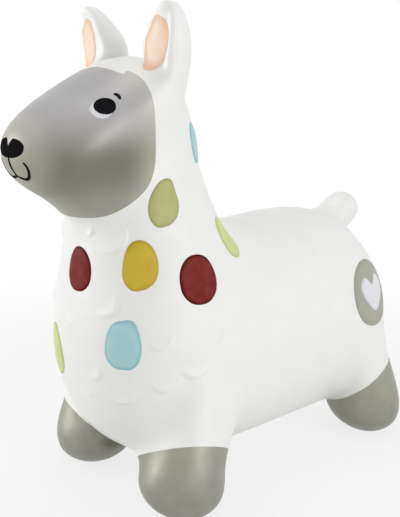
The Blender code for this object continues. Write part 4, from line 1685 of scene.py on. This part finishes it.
@dataclass(frozen=True)
class Spots:
    """All the spots.

    Attributes:
        dome: How far the moulded spots stand out.
        bulge: The power of their domes.
        rows: The spots.
    """

    dome: float = 0.0022
    bulge: float = 2.6
    rows: tuple[Spot, ...] = (
        Spot("chest_middle", Slot.RED, 3, 1.161, Outline(0.0400, 0.0490, pulls=EGG), (-0.0008, 0)),
        Spot("shoulder_left", Slot.YELLOW, 54, 1.102, Outline(0.0380, 0.0540, pulls=DROP)),
        Spot("flank_left", Slot.RED, 90, 1.198, Outline(0.0475, 0.0535, pulls=PEBBLE), (0.0025, 0)),
        Spot("throat_left", Slot.KHAKI, 73, 0.761, Outline(0.0350, 0.0505, pulls=PEAR)),
        Spot(
            "chest_left", Slot.TEAL, 43, 1.545, Outline(0.0415, 0.0545, pulls=BARREL),
            (-0.0015, -0.0010),
        ),
        Spot(
            "chest_right", Slot.LIME, -26, 1.705, Outline(0.0345, 0.0620, 0.10, pulls=DROP),
            (0.0012, 0), 14,
        ),
        Spot("neck_back_left", Slot.TEAL, 123, 0.454, Outline(0.0285, 0.0450, pulls=EGG)),
        Spot(
            "withers_left", Slot.LIME, 130, 1.022, Outline(0.0330, 0.0590, 0.10, pulls=EGG),
            (0.0030, 0), 30,
        ),
        Spot(
            "shoulder_right", Slot.TEAL, -54, 1.094,
            Outline(0.0370, 0.0510, 0.12, pulls=BARREL[::-1]), (-0.0100, 0),
        ),
        Spot("flank_right", Slot.KHAKI, -92, 1.193, Outline(0.0430, 0.0525, pulls=DROP)),
        Spot("throat_right", Slot.YELLOW, -73, 0.769, Outline(0.0350, 0.0490, pulls=EGG)),
        Spot("belly_right", Slot.RED, -70, 1.534, Outline(0.0415, 0.0530, pulls=PEBBLE)),
        Spot("neck_back_right", Slot.LIME, -123, 0.459, Outline(0.0305, 0.0450, pulls=EGG)),
        Spot(
            "withers_right", Slot.TEAL, -130, 1.022, Outline(0.0340, 0.0590, 0.10, pulls=EGG),
            (-0.0030, 0), -30,
        ),
    )

    def build(self, surface: Surface) -> None:
        """Drapes every spot.

        Args:
            surface: The body's surface.
        """
        for spot in self.rows:
            start = surface.body.spot_start(spot.drop)
            facing = surface.facing(start, direction(spot.turn), spot.outline.wide / 2)
            moulded = {"outline": spot.outline, "dome": self.dome, "bulge": self.bulge}
            pad = Pad(f"spot_{spot.name}", spot.slot, **moulded)
            pad.build(Plane(surface, *facing), spot.shift, spot.roll)


@dataclass(frozen=True)
class Eyes:
    """Round black pupils over a shifted white, with a short lash behind each.

    Attributes:
        origin: Where the eye looks out from, as shares of the head's length and the neck's rise.
        look: Which way it looks out: degrees to the side, and up.
        pupil: The pupil's outline.
        white: The white's outline.
        white_shift: How far the white is shifted inwards and down.
        lash: The lash's points.
        lash_width: Its width.
    """

    origin: Pair = (0.458, 0.433)
    look: Pair = (60.3, 42.8)
    pupil: Outline = Outline(0.0218, 0.0200, square=0.96)
    white: Outline = Outline(0.0226, 0.0230)
    white_shift: Pair = (-0.0036, -0.0033)
    lash: tuple[Pair, ...] = (
        (0.0100, 0.0148), (0.0124, 0.0143), (0.0146, 0.0121), (0.0158, 0.0080),
    )
    lash_width: float = 0.0040

    def build(self, surface: Surface) -> None:
        """Drapes both eyes.

        Args:
            surface: The body's surface.
        """
        body = surface.body
        ahead = body.poll_setback - self.origin[0] * body.head_length
        start = body.at(0, ahead, body.seat_height + self.origin[1] * body.neck_rise)
        turn, rise = self.look
        across, above = self.white_shift
        for side in Side:
            way = direction(side.value * turn, rise)
            plane = Plane(surface, *surface.facing(start, way, self.pupil.wide), side.value)
            white = Pad(f"eye_white_{side.word}", Slot.WHITE, lift=0.0005, outline=self.white)
            white.build(plane, (side.value * across, above))
            pupil = Pad(
                f"pupil_{side.word}", Slot.BLACK, lift=0.0008, outline=self.pupil, dome=0.0003
            )
            pupil.build(plane)
            lash = Stroke(
                f"lash_{side.word}", Slot.BLACK, lift=0.0006, paths=(self.lash,),
                width=self.lash_width, blunt=0.45,
            )
            lash.build(plane)


@dataclass(frozen=True)
class Muzzle:
    """The black nose and the drawn mouth.

    Attributes:
        nose: The nose's outline.
        nose_drop: How far under the crown its middle lies.
        mouth_drop: How far under the crown the middle of the mouth's line lies.
        philtrum: The line down from the nose, as points in the plane ahead.
        smile: The left half of the mouth's line.
        line: The width of both lines.
    """

    nose: Outline = Outline(0.0450, 0.0195, -0.02, 0.88, 0.48, 0.15)
    nose_drop: float = 0.0815
    mouth_drop: float = 0.1095
    philtrum: tuple[Pair, ...] = ((0.0, 0.0185), (0.0, 0.0120), (0.0, 0.0060), (0.0, 0.0))
    smile: tuple[Pair, ...] = (
        (0.0, 0.0), (0.0060, -0.0020), (0.0130, -0.0028), (0.0188, -0.0006), (0.0228, 0.0048),
        (0.0234, 0.0106), (0.0210, 0.0150),
    )
    line: float = 0.0026

    def build(self, surface: Surface) -> None:
        """Drapes the nose and the lines of the mouth.

        Args:
            surface: The body's surface.
        """
        body = surface.body
        front = body.poll_setback - body.head_length
        nose = Pad(
            "nose_coat", Slot.BLACK, lift=0.0008, outline=self.nose, dome=0.0006, segments=120
        )
        place = body.at(0, front, body.crown_height - self.nose_drop)
        nose.build(Plane(surface, place, AHEAD))
        other = tuple((-x, z) for x, z in self.smile)
        paths = (self.philtrum, self.smile, other)
        mouth = Stroke(
            "mouth_coat", Slot.BLACK, lift=0.0009, paths=paths, width=self.line, blunt=0.60
        )
        place = body.at(0, front, body.crown_height - self.mouth_drop)
        mouth.build(Plane(surface, place, AHEAD))


@dataclass(frozen=True)
class EarLinings:
    """The peach linings in the hollows of the ears.

    Attributes:
        outlines: The left and the right lining's outline, seen from the front with the outer
            side to the right.
        shifts: How far each is moved outwards and up.
        height: Where its middle lies, as a share of the ear's height.
        middle: How far it lies behind and inboard of the tip, as shares of depth and width.
    """

    outlines: tuple[Outline, Outline] = (
        Outline(0.0400, 0.0560, pulls=LEFT_LINING), Outline(0.0300, 0.0520, pulls=RIGHT_LINING)
    )
    shifts: tuple[Pair, Pair] = ((-0.0043, 0.0011), (0.0040, 0.0020))
    height: float = 0.58
    middle: Pair = (0.20, 0.20)

    def build(self, surface: Surface) -> None:
        """Drapes both linings.

        Args:
            surface: The body's surface.
        """
        body = surface.body
        behind, inboard = self.middle
        for side, outline, (out, above) in zip(Side, self.outlines, self.shifts):
            tip, _, front = body.ear_ways(side)
            middle = tip - Vector((0, 0, (1 - self.height) * body.ear_length))
            middle += Vector((-side.value * inboard * body.ear_width, behind * body.ear_depth, 0))
            place, _ = surface.meet(middle + Vector(body.stand), front)
            pad = Pad(f"ear_lining_{side.word}", Slot.PEACH, lift=0.0003, outline=outline)
            pad.build(Plane(surface, place, front, side.value), (side.value * out, above))


@dataclass(frozen=True)
class RumpBadge:
    """The round grey badge on the left of the rump, with a plain white heart.

    Attributes:
        origin: Where the badge faces out from, as shares of the wheelbase and the trunk's depth.
        look: Which way it faces out: degrees to the side, and up.
        disc: The badge's outline.
        heart: The heart's outline.
        segments: How many steps each outline has.
    """

    origin: Pair = (0.84, 0.49)
    look: Pair = (102, 17.5)
    disc: Outline = Outline(0.0865, 0.088)
    heart: Outline = Outline(0.050, 0.050, -0.45, 1.0, 0.30, 0.25)
    segments: int = 96

    def build(self, surface: Surface) -> None:
        """Drapes the badge and its heart.

        Args:
            surface: The body's surface.
        """
        body = surface.body
        back, up = self.origin
        start = body.at(0, back * body.wheelbase, body.belly_height + up * body.trunk_depth)
        plane = Plane(surface, *surface.facing(start, direction(*self.look), self.disc.wide / 2))
        disc = {"outline": self.disc, "dome": 0.0006, "bulge": 16.0, "segments": self.segments}
        Pad("rump_disc", Slot.GREY, **disc).build(plane)
        heart = {"outline": self.heart, "dome": 0.0008, "bulge": 8.0, "segments": self.segments}
        Pad("rump_heart", Slot.WHITE, lift=0.0007, **heart).build(plane)


@dataclass(frozen=True)
class Lamp:
    """One soft lamp.

    Attributes:
        name: What it does.
        place: Where it hangs.
        size: How far across it is.
        power: How strong it is, in watts.
    """

    name: str
    place: Triple
    size: float
    power: float


@dataclass(frozen=True)
class Studio:
    """The plain floor, the soft lamps and the camera.

    Attributes:
        camera_place: Where the camera stands.
        camera_way: Which way it looks.
        lens: Its focal length in millimetres.
        sensor: The width of its sensor in millimetres.
        clip: The nearest and the farthest that it sees.
        aim: What the lamps are turned to.
        lamps: The lamps.
        ambient: The strength of the even light from all round.
        floor_radius: How far the floor reaches.
        fade: How far out the floor's own shade is seen, from where and to where.
        floor_share: How much of the floor's own shade is seen close to the toy.
    """

    camera_place: Triple = (0.733807, -0.666779, 0.503860)
    camera_way: Triple = (-0.727163, 0.644280, -0.236934)
    lens: float = 57.067
    sensor: float = 36.0
    clip: Pair = (0.01, 200.0)
    aim: Triple = (0.0, 0.0, 0.27)
    lamps: tuple[Lamp, ...] = (
        Lamp("right_softbox", (1.95, 0.10, 0.60), 1.5, 15.0),
        Lamp("left_softbox", (-1.60, -1.85, 0.75), 1.3, 26.0),
        Lamp("top_softbox", (-0.2, 0.3, 2.6), 1.6, 10.0),
    )
    ambient: float = 0.54
    floor_radius: float = 40.0
    fade: Pair = (0.40, 1.10)
    floor_share: float = 0.22

    def build(self) -> None:
        """Sets up the camera, the lamps, the surrounding and the floor."""
        camera = bpy.data.cameras.new("camera")
        camera.lens, camera.sensor_width = self.lens, self.sensor
        camera.clip_start, camera.clip_end = self.clip
        way = Vector(self.camera_way)
        bpy.context.scene.camera = self.set_up(camera, self.camera_place, way)
        for lamp in self.lamps:
            light = bpy.data.lights.new(lamp.name, "AREA")
            light.shape = "DISK"
            light.size, light.energy = lamp.size, lamp.power
            self.set_up(light, lamp.place, Vector(self.aim) - Vector(lamp.place))
        self.add_world()
        self.add_floor()

    @staticmethod
    def set_up(data: bpy.types.ID, place: Triple, way: Vector) -> Piece:
        """Puts a camera or a lamp in the studio.

        Args:
            data: The camera or the lamp.
            place: Where it goes.
            way: Which way it points.

        Returns:
            Its object.
        """
        piece = bpy.data.objects.new(data.name, data)
        piece.location = place
        piece.rotation_euler = way.to_track_quat("-Z", "Y").to_euler()
        bpy.context.scene.collection.objects.link(piece)
        return piece

    @staticmethod
    def seen_directly(tree: Tree) -> Socket:
        """Tells the rays that see the backdrop itself from those that only gather its light.

        Args:
            tree: The nodes of the world or of the floor.

        Returns:
            A socket that is 1 for camera, glossy and transmission rays.
        """
        path = add_node(tree, "LightPath").outputs
        seen = path["Is Camera Ray"]
        for kind in ("Is Glossy Ray", "Is Transmission Ray"):
            seen = add_node(tree, "Math", {0: seen, 1: path[kind]}, operation="MAXIMUM").outputs[0]
        return seen

    def add_world(self) -> None:
        """Adds an even white surrounding, which lights the toy more softly than it looks."""
        world = bpy.data.worlds.new("studio_white")
        world.use_nodes = True
        tree = world.node_tree
        span = {"Value": self.seen_directly(tree), "To Min": self.ambient, "To Max": 1.0}
        strength = add_node(tree, "MapRange", span).outputs[0]
        light = {"Color": linear_colour(LIGHT_WHITE), "Strength": strength}
        fill(tree.nodes["Background"], light)
        bpy.context.scene.world = world

    def add_floor(self) -> None:
        """Adds the floor: matt white paper that fades into the white surrounding."""
        shape = bmesh.new()
        bmesh.ops.create_circle(shape, segments=96, radius=self.floor_radius, cap_ends=True)
        floor = plain_object("floor", shape)
        material = bpy.data.materials.new("matt_white_paper")
        material.use_nodes = True
        tree = material.node_tree
        paper = tree.nodes["Principled BSDF"]
        matt = {"Roughness": 0.9, "Specular IOR Level": 0.2}
        fill(paper, {"Base Color": linear_colour(PAPER_WHITE), **matt})
        place = add_node(tree, "TexCoord").outputs["Object"]
        far = add_node(tree, "VectorMath", {0: place}, operation="LENGTH").outputs["Value"]
        span = {"Value": far, "From Min": self.fade[0], "From Max": self.fade[1]}
        span["To Min"] = 1 - self.floor_share
        white = add_node(tree, "MapRange", span, interpolation_type="SMOOTHSTEP").outputs[0]
        both = {0: white, 1: self.seen_directly(tree)}
        share = add_node(tree, "Math", both, operation="MULTIPLY").outputs[0]
        light = {"Color": linear_colour(LIGHT_WHITE), "Strength": 1.0}
        glow = add_node(tree, "Emission", light).outputs[0]
        mix = add_node(tree, "MixShader", {0: share, 1: paper.outputs[0], 2: glow}).outputs[0]
        fill(tree.nodes["Material Output"], {"Surface": mix})
        floor.data.materials.append(material)


def main() -> None:
    """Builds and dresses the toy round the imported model, then the studio."""
    logging.basicConfig(level=logging.INFO, format="%(message)s")
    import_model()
    for name in ("Cube", "Light", "Camera"):
        if name in bpy.data.objects:
            bpy.data.objects.remove(bpy.data.objects[name])
    surface = Surface(LlamaBody())
    skin = MouldedSkin()
    shell = skin.shell(surface)
    FaceCoat("face_coat", Slot.GREY, FACE_GREY).build(surface, shell)
    Feet().build(surface, shell)
    skin.build(shell)
    ValvePlug().build()
    for coats in (Eyes(), Muzzle(), EarLinings(), Spots(), RumpBadge()):
        coats.build(surface)
    Studio().build()
    bpy.context.scene.view_settings.view_transform = "Standard"


if __name__ == "__main__":
    main()
